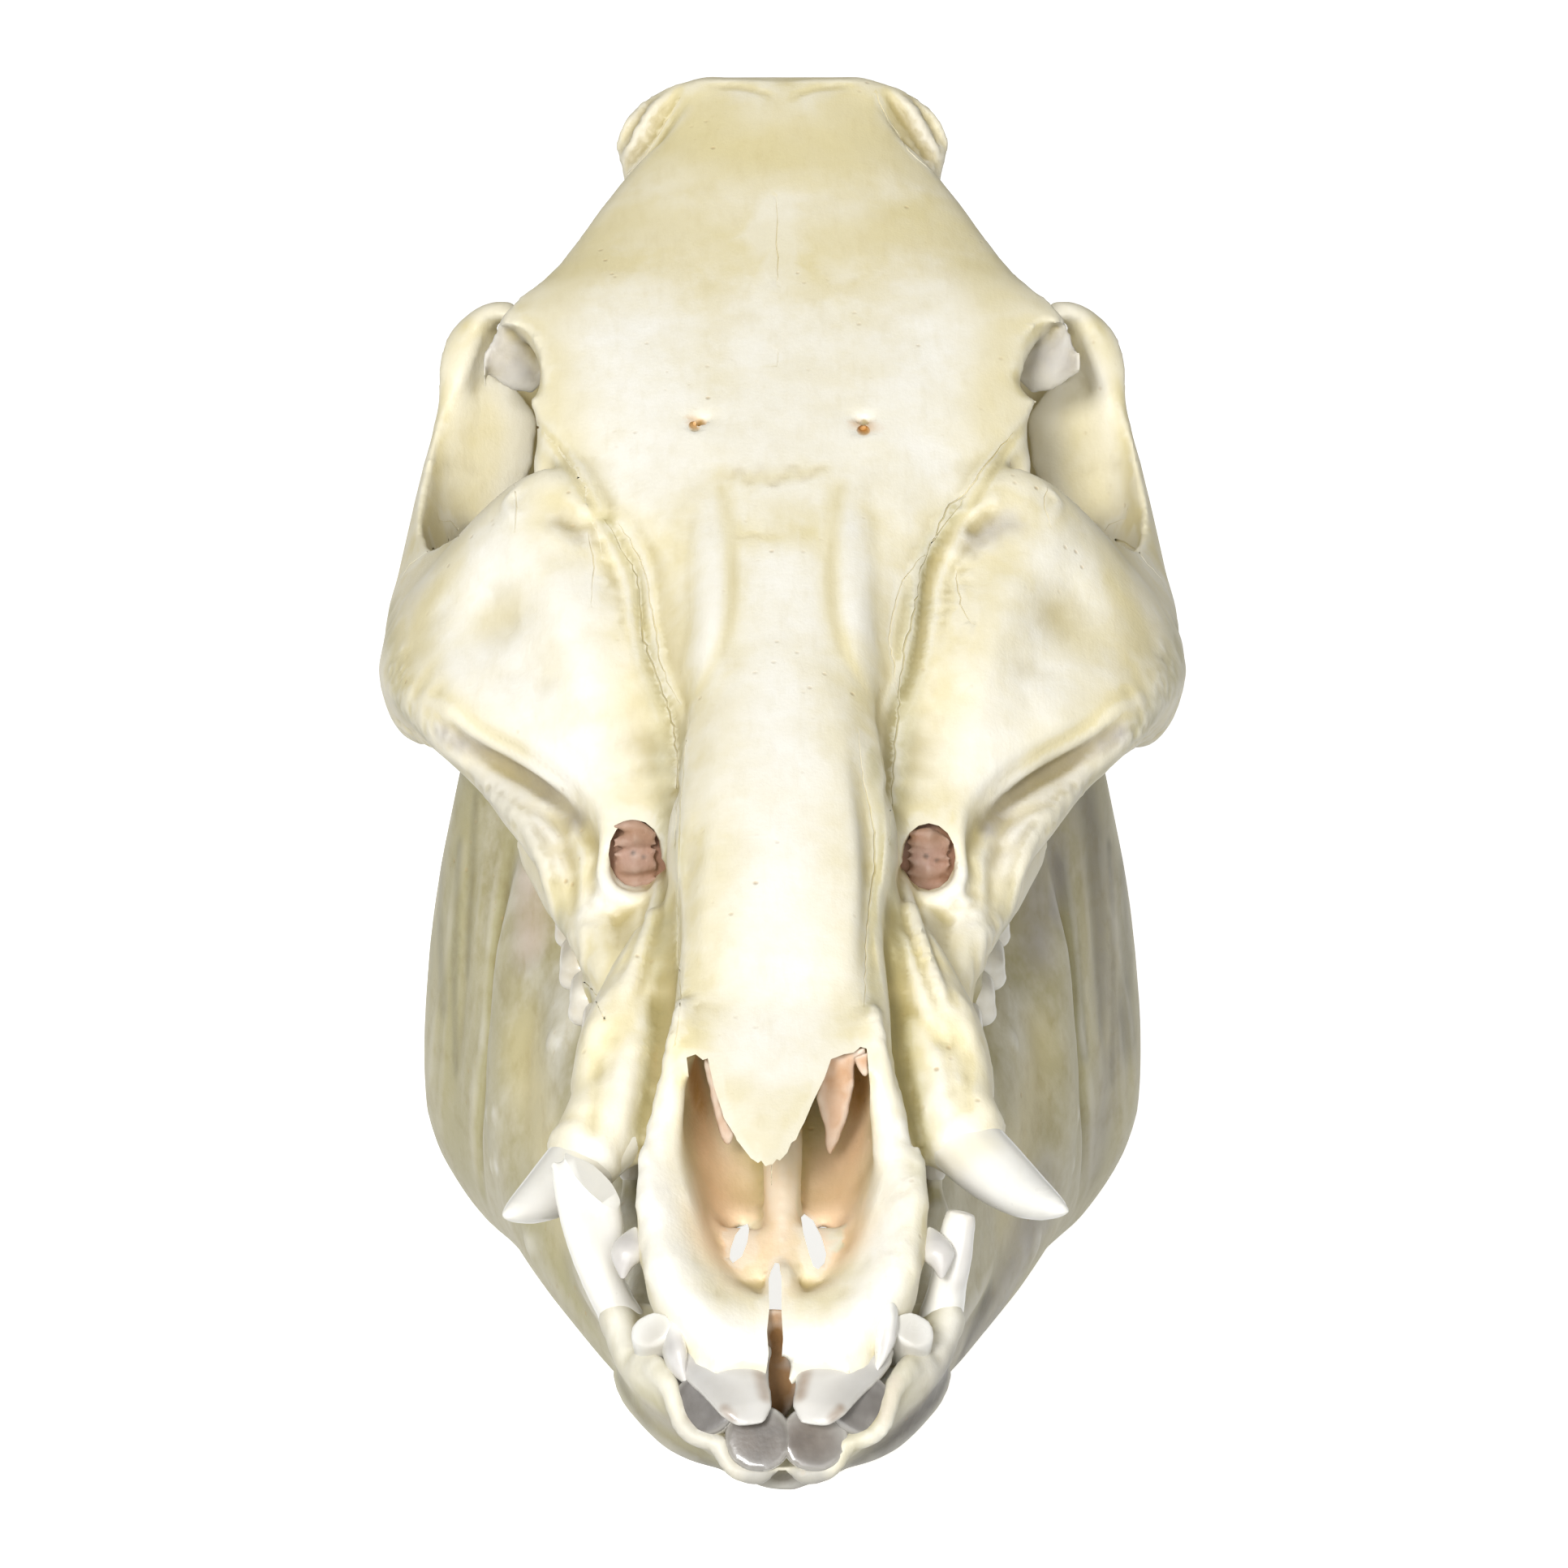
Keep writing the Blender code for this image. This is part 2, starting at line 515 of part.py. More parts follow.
jaw_places = list(range(28, 168, 7)) + [172, 180, 188, 194, 199, 204, 208, 212, 217, 223, 230, 237, 241, 244]
jaw_side = loft("jaw_side", [jaw_section(y) for y in jaw_places])
jaw_joint = rod("jaw_joint", ((44, 238, 111), (54, 239, 113), (64, 240, 111)), (9, 12, 9), flat=0.9)
jaw_neck = rod("jaw_neck", ((57, 238, 70), (56, 238, 92), (54, 239, 110)), (14, 12, 12), flat=0.7)
mandible = join("mandible", [chin] + both(jaw_side) + both(jaw_joint) + both(jaw_neck))
grow_together(mandible, MANDIBLE_FACES)
largest_only(mandible)

lower_teeth = []
for tooth in cheek_row(False):
    lower_teeth += both(tooth)
lower_teeth += both(incisor("i1_lower", (4.8, 15, 40), (4.9, -3.6, 48.8), (9.6, 9), (9.4, 7.6)))
lower_teeth += both(incisor("i2_lower", (11.8, 17, 43.5), (13.8, 1.2, 52.8), (8.6, 8), (8.4, 7)))
lower_teeth += both(incisor("i3_lower", (20, 21, 47), (21, 9.3, 59.6), (5.8, 6), (4.8, 5)))

# Tusks: upper ones turn outward and up, lower ones stand up in front of them
UPPER_TUSK_LONG = ((20, 78, 88), (27, 60, 78), (33.5, 51, 73.5), (40, 42, 71.5), (45.8, 33.5, 72.5))
UPPER_TUSK_SHORT = ((20, 78, 88), (27, 60, 78), (33.5, 51, 73), (39.5, 43, 70.5), (45, 35, 71))
UPPER_TUSK_WIDTHS = (13, 14, 13, 9.5, 2)
LOWER_TUSK_LONG = ((17.5, 37, 40), (24.5, 28, 54), (29, 27, 64), (33, 30, 73), (37, 35, 81))
LOWER_TUSK_LONG_WIDTHS = (9.5, 9.5, 8.5, 6.5, 1.6)
LOWER_TUSK_WORN = ((17.5, 37, 40), (24.5, 28, 54), (26.5, 26.5, 63), (27.5, 27, 69), (28.6, 28.5, 75))
LOWER_TUSK_WORN_WIDTHS = (9, 9, 8, 7, 5.6)


def tusk(name, path, widths, side, flat, ease=0.0):
    """A tusk on one side of the jaw; ease widens it all round, for the socket that it stands in."""
    path = [Vector((side * x, y, z)) for x, y, z in path]
    path[0] += 2 * ease * (path[0] - path[1]).normalized()
    widths = [width + 2 * ease for width in widths]
    return rod(name, path, widths, each=3, sides=10, flat=flat)


TUSKS = (("tusk_upper_right", UPPER_TUSK_SHORT, UPPER_TUSK_WIDTHS, -1, 0.85),
         ("tusk_upper_left", UPPER_TUSK_LONG, UPPER_TUSK_WIDTHS, 1, 0.85),
         ("tusk_lower_right", LOWER_TUSK_LONG, LOWER_TUSK_LONG_WIDTHS, -1, 0.8),
         ("tusk_lower_left", LOWER_TUSK_WORN, LOWER_TUSK_WORN_WIDTHS, 1, 0.8))

tusks = [tusk(*given) for given in TUSKS]
upper_sockets = [tusk("socket", *given[1:], ease=JOINT_GAP) for given in TUSKS[:2]]
lower_sockets = [tusk("socket", *given[1:], ease=JOINT_GAP) for given in TUSKS[2:]]

openings = both(fissure) + both(brow_opening) + [midline_slit]
join("cranium", [cranium, nasal_tip, septum] + upper_teeth)
cut(cranium, openings + upper_sockets)
largest_only(cranium)
join("mandible", [mandible] + lower_teeth)
floor_cutter = loft("floor_cutter", [[Vector((x, y, z)) for x, z in ((-90, 0), (90, 0), (90, -9), (-90, -9))]
                                     for y in (-20, 260)])
cut(mandible, lower_sockets + [floor_cutter])
largest_only(mandible)

# Finish: one material for each kind of surface, smooth shading, and the skull set on the floor
BONE = ((0.86, 0.80, 0.64), 0.55)
TUSK = ((0.90, 0.86, 0.76), 0.30)
SHARP = 0.7


def material(name, colour, roughness):
    made = bpy.data.materials.new(name)
    made.use_nodes = True
    shader = made.node_tree.nodes["Principled BSDF"]
    shader.inputs["Base Color"].default_value = (*colour, 1.0)
    shader.inputs["Roughness"].default_value = roughness
    shader.inputs["Metallic"].default_value = 0.0
    return made


bone_material = material("bone", *BONE)
tusk_material = material("tusk_enamel", *TUSK)
nodes = [cranium, mandible] + tusks
corners = [corner.co for node in nodes for corner in node.data.vertices]
middle = Vector([(min(c[k] for c in corners) + max(c[k] for c in corners)) / 2 for k in range(3)])
middle.z = 0.0
for node in nodes:
    for corner in node.data.vertices:
        corner.co -= middle
    node.data.materials.clear()
    node.data.materials.append(tusk_material if node in tusks else bone_material)
    node.data.shade_smooth()
    node.data.set_sharp_from_angle(angle=SHARP)
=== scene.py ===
import bmesh
import bpy
import numpy as np
from math import cos, pi, radians, sin
from mathutils import Matrix, Vector, noise
from mathutils.bvhtree import BVHTree


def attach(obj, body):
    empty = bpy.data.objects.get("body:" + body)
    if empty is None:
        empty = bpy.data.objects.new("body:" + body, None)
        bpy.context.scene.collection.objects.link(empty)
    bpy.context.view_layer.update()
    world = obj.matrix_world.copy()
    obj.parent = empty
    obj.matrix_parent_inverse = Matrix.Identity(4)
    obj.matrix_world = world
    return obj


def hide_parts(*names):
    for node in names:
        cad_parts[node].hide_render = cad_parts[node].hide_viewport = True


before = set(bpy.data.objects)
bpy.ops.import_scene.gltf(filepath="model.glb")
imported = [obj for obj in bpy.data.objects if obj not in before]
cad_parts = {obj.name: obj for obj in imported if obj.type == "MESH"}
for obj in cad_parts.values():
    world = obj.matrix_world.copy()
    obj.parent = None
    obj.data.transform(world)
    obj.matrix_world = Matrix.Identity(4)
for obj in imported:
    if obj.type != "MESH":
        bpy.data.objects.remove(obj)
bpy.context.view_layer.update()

# The camera, before the skull. It stands 0.73 m in front of the skull's middle and looks down on
# the forehead, so that the skull fills a square picture from crest to chin.
MM = 0.001
PICTURE = 1932
LENS = 94.92
SENSOR = 36.0
CAMERA_PLACE = Vector((0.000034, -0.729565, 0.343661))
CAMERA_DROP = radians(18)
MIDDLE_COLUMN = 964.0

lens = bpy.data.cameras.new("front_camera")
lens.lens = LENS
lens.sensor_width = SENSOR
lens.sensor_height = SENSOR
lens.shift_x = (PICTURE / 2 - MIDDLE_COLUMN) / PICTURE
lens.clip_start = 0.01
lens.clip_end = 50
camera = bpy.data.objects.new("front_camera", lens)
camera.location = CAMERA_PLACE
camera.rotation_euler = (radians(90) - CAMERA_DROP, 0, 0)
bpy.context.scene.collection.objects.link(camera)
bpy.context.scene.camera = camera
bpy.context.scene.view_settings.view_transform = "Standard"

# Cranium: one dry, cleaned bone from snout to crest. Its packed form is melted into a fine skin,
# then its ridges, hollows, seams and muscle marks are worked in with strokes of a modelling tool.
SNOUT_BACK = 151.392
CRANIUM_GRAIN = 0.85
CRANIUM_TRIANGLES = 182000
MERGED = 0.005
PIXELS_PER_LENS = LENS / SENSOR * PICTURE


def at(x, y, z):
    """A place on the skull in mm: x to its left, y back from the snout's front edge, z up."""
    return Vector((x + 0.034, y - SNOUT_BACK, z)) * MM


def piece_of(shape, name):
    """A new object that has the finished shape for its mesh."""
    mesh = bpy.data.meshes.new(name)
    shape.to_mesh(mesh)
    shape.free()
    piece = bpy.data.objects.new(name, mesh)
    bpy.context.scene.collection.objects.link(piece)
    return piece


def joined(name, parts):
    """One piece of several closed parts."""
    shape = bmesh.new()
    for part in parts:
        shape.from_mesh(part.data)
        bpy.data.objects.remove(part, do_unlink=True)
    return piece_of(shape, name)


def cut_out(piece, tools):
    """Cuts the closed tools out of the bone, one after the other."""
    for tool in tools:
        cut = piece.modifiers.new("Cut", "BOOLEAN")
        cut.operation = "DIFFERENCE"
        cut.solver = "MANIFOLD"
        cut.object = tool
        settle(piece)
        bpy.data.objects.remove(tool, do_unlink=True)


def bone_copy(name, node, lumps=(), gaps=()):
    """A merged copy of a packed bone, less the gaps cut for its teeth, with the lumps that grow on it."""
    shape = bmesh.new()
    shape.from_mesh(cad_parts[node].data)
    bmesh.ops.remove_doubles(shape, verts=shape.verts, dist=MERGED * MM)
    bone = piece_of(shape, name + "_whole")
    cut_out(bone, gaps)
    return joined(name, [bone, *lumps])


def settle(piece):
    """Applies the modifiers of the piece."""
    bpy.context.view_layer.update()
    graph = bpy.context.evaluated_depsgraph_get()
    mesh = bpy.data.meshes.new_from_object(piece.evaluated_get(graph))
    piece.modifiers.clear()
    piece.data = mesh
    return piece


def melt(piece, grain):
    """Melts a bone and its lumps into one closed skin of this grain in mm."""
    remesh = piece.modifiers.new("Melt", "REMESH")
    remesh.mode = "VOXEL"
    remesh.voxel_size = grain * MM
    return settle(piece)


def thinned(piece, triangles):
    """Thins the skin to this many triangles, most of them where it bends."""
    now = sum(len(face.vertices) - 2 for face in piece.data.polygons)
    if now > triangles:
        thin = piece.modifiers.new("Thin", "DECIMATE")
        thin.ratio = triangles / now
        settle(piece)
    return piece


def curved(places, spacing):
    """Places along a smooth open curve through the corners, no further apart than the spacing."""
    corners = [Vector(place) for place in places]
    last = len(corners) - 1
    line = []
    for i in range(last):
        a, b, c, d = (corners[min(max(i + k, 0), last)] for k in (-1, 0, 1, 2))
        steps = max(1, int((c - b).length / spacing + 0.999))
        for k in range(steps):
            t = k / steps
            point = 2 * b + (c - a) * t + (2 * a - 5 * b + 4 * c - d) * t * t
            line.append(0.5 * (point + (3 * b - a - 3 * c + d) * t ** 3))
    return line + [corners[-1]]


VIEWS = {
    "left": (Vector((1, 0, 0)), lambda u, v: at(300, u, v)),
    "right": (Vector((-1, 0, 0)), lambda u, v: at(-300, u, v)),
    "back": (Vector((0, 1, 0)), lambda u, v: at(u, 600, v)),
    "top": (Vector((0, 0, 1)), lambda u, v: at(u, v, 500)),
    "below": (Vector((0, 0, -1)), lambda u, v: at(u, v, -200)),
}


def sight(place, view):
    """The line of sight to a place: a pixel of the front picture, or mm in a view from a side."""
    if view == "front":
        across = (place[0] - MIDDLE_COLUMN) / PIXELS_PER_LENS
        up = (PICTURE / 2 - place[1]) / PIXELS_PER_LENS
        tip = Vector((0, cos(CAMERA_DROP), -sin(CAMERA_DROP)))
        rise = Vector((0, sin(CAMERA_DROP), cos(CAMERA_DROP)))
        return CAMERA_PLACE, (tip + across * Vector((1, 0, 0)) + up * rise).normalized()
    way, start = VIEWS[view]
    return start(*place), -way


# Steps along a stroke 4 mm wide: in mm in a view from a side, in pixels in the front picture.
STROKE_STEPS = (1.5, 8.0)


class Skin:
    """A bone's surface as arrays, for smoothing it and for working strokes into it."""

    def __init__(self, piece):
        self.piece = piece
        mesh = piece.data
        self.count = len(mesh.vertices)
        self.co = np.empty(self.count * 3)
        mesh.vertices.foreach_get("co", self.co)
        self.co = self.co.reshape(-1, 3)
        edges = np.empty(len(mesh.edges) * 2, int)
        mesh.edges.foreach_get("vertices", edges)
        self.a, self.b = edges.reshape(-1, 2).T
        self.links = np.bincount(self.a, minlength=self.count) + np.bincount(self.b, minlength=self.count)
        self.links = np.maximum(self.links, 1)
        self.refresh()

    def refresh(self):
        """Writes the places back to the mesh and takes its normals from it."""
        mesh = self.piece.data
        mesh.vertices.foreach_set("co", self.co.ravel())
        mesh.update()
        self.normal = np.empty(self.count * 3)
        mesh.vertex_normals.foreach_get("vector", self.normal)
        self.normal = self.normal.reshape(-1, 3)
        bpy.context.view_layer.update()
        self.tree = BVHTree.FromObject(self.piece, bpy.context.evaluated_depsgraph_get())

    def averaged(self, values, passes=1):
        """Each point's value drawn towards its neighbours'."""
        flat = values.ndim == 1
        values = values.reshape(self.count, -1).copy()
        for _ in range(passes):
            for k in range(values.shape[1]):
                column = values[:, k]
                total = np.bincount(self.a, column[self.b], self.count)
                total += np.bincount(self.b, column[self.a], self.count)
                values[:, k] = 0.5 * column + 0.5 * total / self.links
        return values[:, 0] if flat else values

    def ease(self, light, heavy, keep):
        """Smooths broad faces heavily, and edges and rims that this would wear by keep mm only lightly."""
        soft = self.averaged(self.co, light)
        flat = self.averaged(soft, heavy)
        moved = np.linalg.norm(flat - soft, axis=1) / (keep * MM)
        share = self.averaged(np.exp(-moved ** 2), 4)[:, None]
        self.co = share * flat + (1 - share) * soft
        self.refresh()

    def laid(self, places, view, spacing):
        """The places set down on the bone where the view's lines of sight meet it."""
        hits = []
        for place in curved(places, spacing) if len(places) > 1 else [Vector(places[0])]:
            hit, normal, _, _ = self.tree.ray_cast(*sight(place, view))
            if hit:
                hits.append((hit, normal))
        return hits

    def touch(self, places, width, view="front", fade=True):
        """How strongly a stroke of this width in mm touches each point, from 0 to 1, or 0 where it misses."""
        spacing = STROKE_STEPS[view == "front"] * max(width, 2) / 4
        hits = self.laid(places, view, spacing)
        if not hits:
            return np.zeros(self.count)
        line = np.array([hit[0] for hit in hits])
        facing = np.array([hit[1] for hit in hits])
        reach = width * MM
        low, high = line.min(0) - reach, line.max(0) + reach
        near = np.nonzero(np.all((self.co > low) & (self.co < high), axis=1))[0]
        points, normals = self.co[near], self.normal[near]
        best = np.zeros(len(near))
        last = max(len(line) - 1, 1)
        for i in range(last):
            start = line[i]
            step = line[min(i + 1, len(line) - 1)] - start
            length = max(step @ step, 1e-12)
            t = np.clip((points - start) @ step / length, 0, 1)
            away = np.linalg.norm(points - start - t[:, None] * step, axis=1) / reach
            fullness = np.ones(len(near))
            if fade and len(line) > 2:
                place = (i + t) / last
                fullness = np.clip(np.minimum(place, 1 - place) * 4, 0.0, 1) ** 0.7
            strength = fullness * np.clip(1 - away ** 2, 0, 1) ** 2
            strength *= normals @ facing[i] > 0.15
            best = np.maximum(best, strength)
        touched = np.zeros(self.count)
        touched[near] = best
        return touched

    def soften(self, places, reach, passes):
        """Smooths the bone round each place, to this many mm from it."""
        share = np.zeros(self.count)
        for place in places:
            away = np.linalg.norm(self.co - np.array(place), axis=1) / (reach * MM)
            share = np.maximum(share, np.clip(1.3 - 1.3 * away, 0, 1))
        near = np.nonzero(share > 0)[0]
        order = np.full(self.count, -1)
        order[near] = np.arange(len(near))
        a, b = order[self.a], order[self.b]
        inside = (a >= 0) & (b >= 0)
        a, b = a[inside], b[inside]
        links = np.maximum(np.bincount(a, minlength=len(near)) + np.bincount(b, minlength=len(near)), 1)
        places = self.co[near].copy()
        for _ in range(passes):
            for k in range(3):
                total = np.bincount(a, places[b, k], len(near)) + np.bincount(b, places[a, k], len(near))
                places[:, k] = 0.5 * places[:, k] + 0.5 * total / links
        self.co[near] += share[near, None] * (places - self.co[near])
        self.refresh()

    def carried(self, name, values):
        """Keeps a value for each point of the mesh, for its material to read."""
        layer = self.piece.data.attributes.new(name, "FLOAT", "POINT")
        layer.data.foreach_set("value", values.astype(np.float32))

    def work(self, strokes, soft=5):
        """Raises or sinks the bone along each stroke: its places, width and height in mm, and view."""
        moved = np.zeros(self.count)
        for places, width, height, *view in strokes:
            moved += height * MM * self.touch(places, width, *view)
        self.co = self.co + self.averaged(moved, soft)[:, None] * self.normal
        self.refresh()

    def roughen(self, patches):
        """Breaks patches of the bone up into small knobs: places, width, height and knob size in mm."""
        moved = np.zeros(self.count)
        for places, width, height, knob, *view in patches:
            share = np.minimum(1.6 * self.touch(places, width, *(view or ["front"]), False), 1)
            for i in np.nonzero(share > 0.02)[0]:
                moved[i] += share[i] * height * MM * noise.noise(Vector(self.co[i]) / (knob * MM))
        self.co = self.co + moved[:, None] * self.normal
        self.refresh()


def on_side(side, places):
    """Places of the front picture's left half, which shows side -1, or their mirrored twins on side 1."""
    return [(column if side < 0 else 2 * MIDDLE_COLUMN - column, *rest) for column, *rest in places]


def other_side(strokes):
    """The same strokes on the other side of the front picture, or of a side view."""
    swap = {"left": "right", "right": "left"}
    turned = []
    for places, width, height, *view in strokes:
        seen = view[0] if view else "front"
        if seen == "front":
            places = on_side(1, places)
        elif seen in ("back", "top", "below"):
            places = [(-x, y) for x, y in places]
        turned.append((places, width, height, swap.get(seen, seen)))
    return turned


def seen_at(column, row, back):
    """The place that the front picture shows at a pixel, this many mm back from the snout."""
    start, way = sight((column, row), "front")
    return start + way * ((at(0, back, 0).y - start.y) / way.y)


def seen(*places):
    """The places that the front picture shows: column, row, and mm back from the snout."""
    return [seen_at(*place) for place in places]


def spots(*places):
    """Places on the skull in mm."""
    return [at(*place) for place in places]


def swept(name, path, widths, flat=1.0, flat_way=(0, 0, 1), sides=16):
    """A rounded bar of changing width along a path of places, flattened across flat_way."""
    line = curved(path, 3 * MM)
    shape = bmesh.new()
    rings = []
    last = len(line) - 1
    for i, place in enumerate(line):
        ahead = (line[min(i + 1, last)] - line[max(i - 1, 0)]).normalized()
        side = ahead.cross(Vector(flat_way)).normalized()
        turn = Matrix((side, side.cross(ahead) * -1, ahead)).transposed().to_4x4()
        width = float(np.interp(i / last, np.linspace(0, 1, len(widths)), widths)) * MM / 2
        tip = min(1.0, 0.35 + 0.65 * min(i, last - i) / 2)
        size = Matrix.Diagonal((tip * width, tip * width * flat, 1, 1))
        made = bmesh.ops.create_circle(shape, segments=sides, radius=1.0,
                                       matrix=Matrix.Translation(place) @ turn @ size)
        rings.append(list({edge for vert in made["verts"] for edge in vert.link_edges}))
    for first, second in zip(rings, rings[1:]):
        bmesh.ops.bridge_loops(shape, edges=first + second)
    bmesh.ops.holes_fill(shape, edges=rings[0] + rings[-1], sides=sides)
    bmesh.ops.recalc_face_normals(shape, faces=shape.faces)
    return piece_of(shape, name)


def sight_block(name, outline, near, far):
    """A closed block with this outline in the front picture, between two depths in mm."""
    shape = bmesh.new()
    face = shape.faces.new([shape.verts.new(seen_at(column, row, near)) for column, row in outline])
    made = bmesh.ops.extrude_face_region(shape, geom=[face])
    for vert in made["geom"]:
        if isinstance(vert, bmesh.types.BMVert):
            way = vert.co - CAMERA_PLACE
            vert.co = CAMERA_PLACE + way * ((at(0, far, 0).y - CAMERA_PLACE.y) / way.y)
    bmesh.ops.recalc_face_normals(shape, faces=shape.faces)
    return piece_of(shape, name)


def lump(name, place, radii, turn=(0, 0, 0)):
    """A closed round lump with three radii in mm, turned by degrees about x, y and z."""
    shape = bmesh.new()
    tilt = (Matrix.Rotation(radians(turn[2]), 4, "Z") @ Matrix.Rotation(radians(turn[1]), 4, "Y")
            @ Matrix.Rotation(radians(turn[0]), 4, "X"))
    size = Matrix.Diagonal((*(radius * MM for radius in radii), 1))
    bmesh.ops.create_icosphere(shape, subdivisions=3, radius=1.0,
                               matrix=Matrix.Translation(place) @ tilt @ size)
    return piece_of(shape, name)


def twin(piece):
    """The same form on the other side of the skull."""
    shape = bmesh.new()
    shape.from_mesh(piece.data)
    bmesh.ops.scale(shape, vec=(-1, 1, 1), verts=shape.verts)
    bmesh.ops.reverse_faces(shape, faces=shape.faces)
    return [piece, piece_of(shape, piece.name + "_twin")]


def wavy(places, reach, spacing, dice):
    """The places of a line joined by many small bends of this reach, as the edges of two bones meet."""
    line = curved(places, spacing)
    for place in line[1:-1]:
        place.x += dice.uniform(-reach, reach)
        place.y += dice.uniform(-reach, reach)
    return [(place.x, place.y) for place in line]


BEND_SPACING = 9.0


def seam_tools(surface, seams):
    """Thin bars that follow the bone's surface: places, width in mm, and reach of the bends in pixels."""
    dice = np.random.default_rng(3)
    bars = []
    for places, width, reach in seams:
        hits = surface.laid(wavy([(*place, 0) for place in places], reach, BEND_SPACING, dice), "front", 1e9)
        if len(hits) > 2:
            normal = sum((hit[1] for hit in hits), Vector())
            bars.append(swept("seam", [hit[0] for hit in hits], (0.4 * width, width, width, 0.4 * width), 1.3,
                              normal.normalized(), 6))
    return bars


# What grows on the cranium: the orbit's inner rim, the lobes behind the orbits, the arch tips, the
# knobs under the cheek plates, the jaw over the cheek teeth, the tusk sockets and the tooth beds.
cranium_lumps = (
    twin(swept("orbit_rim", seen((678, 470, 217), (690, 505, 214), (689, 542, 210), (676, 578, 205),
                                 (658, 604, 202)), (7, 10, 10, 8, 6)))
    + twin(swept("orbit_lobe", seen((684, 440, 237), (652, 442, 237), (624, 446, 237), (598, 454, 237)),
                 (15, 14.6, 13.2, 10), 0.3, (0, 1, 0)))
    + twin(swept("orbit_roof", seen((626, 394, 238.5), (640, 400, 237), (656, 412, 233), (672, 434, 226),
                                    (680, 460, 220.5), (684, 490, 216)),
                 (3, 4, 4.4, 4.4, 4.4, 4.4)))
    + twin(swept("arch_tip", seen((640, 392, 261), (622, 384, 264), (601, 388, 266), (583, 403, 266),
                                  (567, 436, 262.4), (558, 474, 259.4), (549, 525, 256.6),
                                  (543, 585, 252.4), (541, 630, 247)),
                 (6, 8, 9, 9, 8, 6.5, 5.5, 5, 4.5), 0.6))
    + twin(swept("arch_face", seen((620, 470, 263.5), (608, 515, 261.5), (600, 560, 258.6), (590, 605, 255),
                                   (576, 650, 250.6)), (14, 19, 20, 17, 10), 0.36, (0, 1, 0)))
    + twin(swept("arch_face", seen((572, 470, 262.5), (564, 520, 260), (560, 570, 256.6), (556, 620, 252.4),
                                   (556, 650, 249)), (7, 9, 9, 9, 7)))
    + [lump("cheek_knob", seen_at(1402, 900, 187), (5.5, 3.5, 4))]
    + [lump("slot_filling", at(side * 7, 29, 67.6), (5.5, 8, 1.5), (12, 0, 0)) for side in (-1, 1)]
    + [swept("slot_filling", spots((0, 5, 61.5), (0, 14, 65), (0, 26, 68)), (4, 5, 4), 0.8)]
    + twin(swept("cheek_corner", seen((497, 780, 191), (500, 840, 191), (518, 884, 189), (548, 896, 183)),
                 (7, 11, 12, 8)))
    + twin(swept("jaw_over_teeth", spots((-42, 152, 97), (-38, 131, 94), (-33.5, 112, 91), (-29.5, 95, 87)),
                 (18, 14, 10, 6), 1.2))
    + twin(swept("socket_crest", spots((-22, 92, 100), (-25, 81, 96.5), (-30, 71.5, 91), (-31.5, 65, 86.5)),
                 (4, 6, 7, 4), 0.8))
    + twin(swept("tusk_sleeve", spots((-20, 80, 90), (-24, 69, 83.5), (-27.7, 60, 78.2),
                                      (-31.2, 54.8, 75.4), (-34.0, 50.6, 73.6)),
                 (13, 16, 16.2, 15.6, 14.6), 0.94))
    + [swept("tusk_sleeve", spots((-30, 56, 76.4), (-33.4, 51.2, 74), (-36, 47.4, 72.6)), (15, 14.4, 13.2),
             0.94)]
    + [swept("nostril_rim", seen((842, 1225, 60), (835, 1290, 50), (826, 1350, 45.5), (818, 1400, 42.5),
                                 (813, 1460, 35)), (3, 4.4, 5.6, 7, 8))]
    + [swept("nostril_rim", seen((1074, 1225, 60), (1079, 1290, 50), (1088, 1350, 45.5), (1097, 1400, 42.5),
                                 (1106, 1460, 35)), (3, 4.4, 5.6, 7, 8))]
    + twin(swept("snout_edge", spots((-22.3, 40, 82.5), (-20.5, 27, 75), (-17.5, 15, 68.5), (-11, 8.2, 64),
                                     (-4.5, 6, 62.2)), (3, 6, 8, 8, 7)))
)
# The beds of the front teeth and the brow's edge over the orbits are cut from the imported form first.
cranium_gaps = (
    twin(swept("incisor_gap", spots((7.0, 3.6, 58.9), (5.0, -2, 56.2), (3, -9, 53.2)), (16, 14, 12), 0.8))
    + twin(swept("incisor_gap", spots((16.6, 10.5, 62.6), (17.6, 4.0, 60.4), (18, -2, 58)), (7, 8, 8)))
    + twin(swept("incisor_gap", spots((21.8, 24, 69.6), (25.0, 19.5, 68.3), (28, 15, 66)), (7, 8, 8)))
    + [sight_block("orbit_edge", [(600, 404), (627, 402), (640, 404), (650, 409), (661, 428), (666, 458),
                                  (664, 486), (640, 494), (598, 492)], 200, 236.5),
       sight_block("orbit_edge", [(1330, 404), (1300, 398), (1284, 397), (1270, 406), (1258, 421),
                                  (1252, 445), (1250, 470), (1256, 486), (1300, 494), (1332, 492)],
                   200, 236.5)]
)
cranium = melt(bone_copy("cranium_bone", "cranium", cranium_lumps, cranium_gaps), CRANIUM_GRAIN)
skin = Skin(cranium)
skin.ease(2, 30, 0.6)
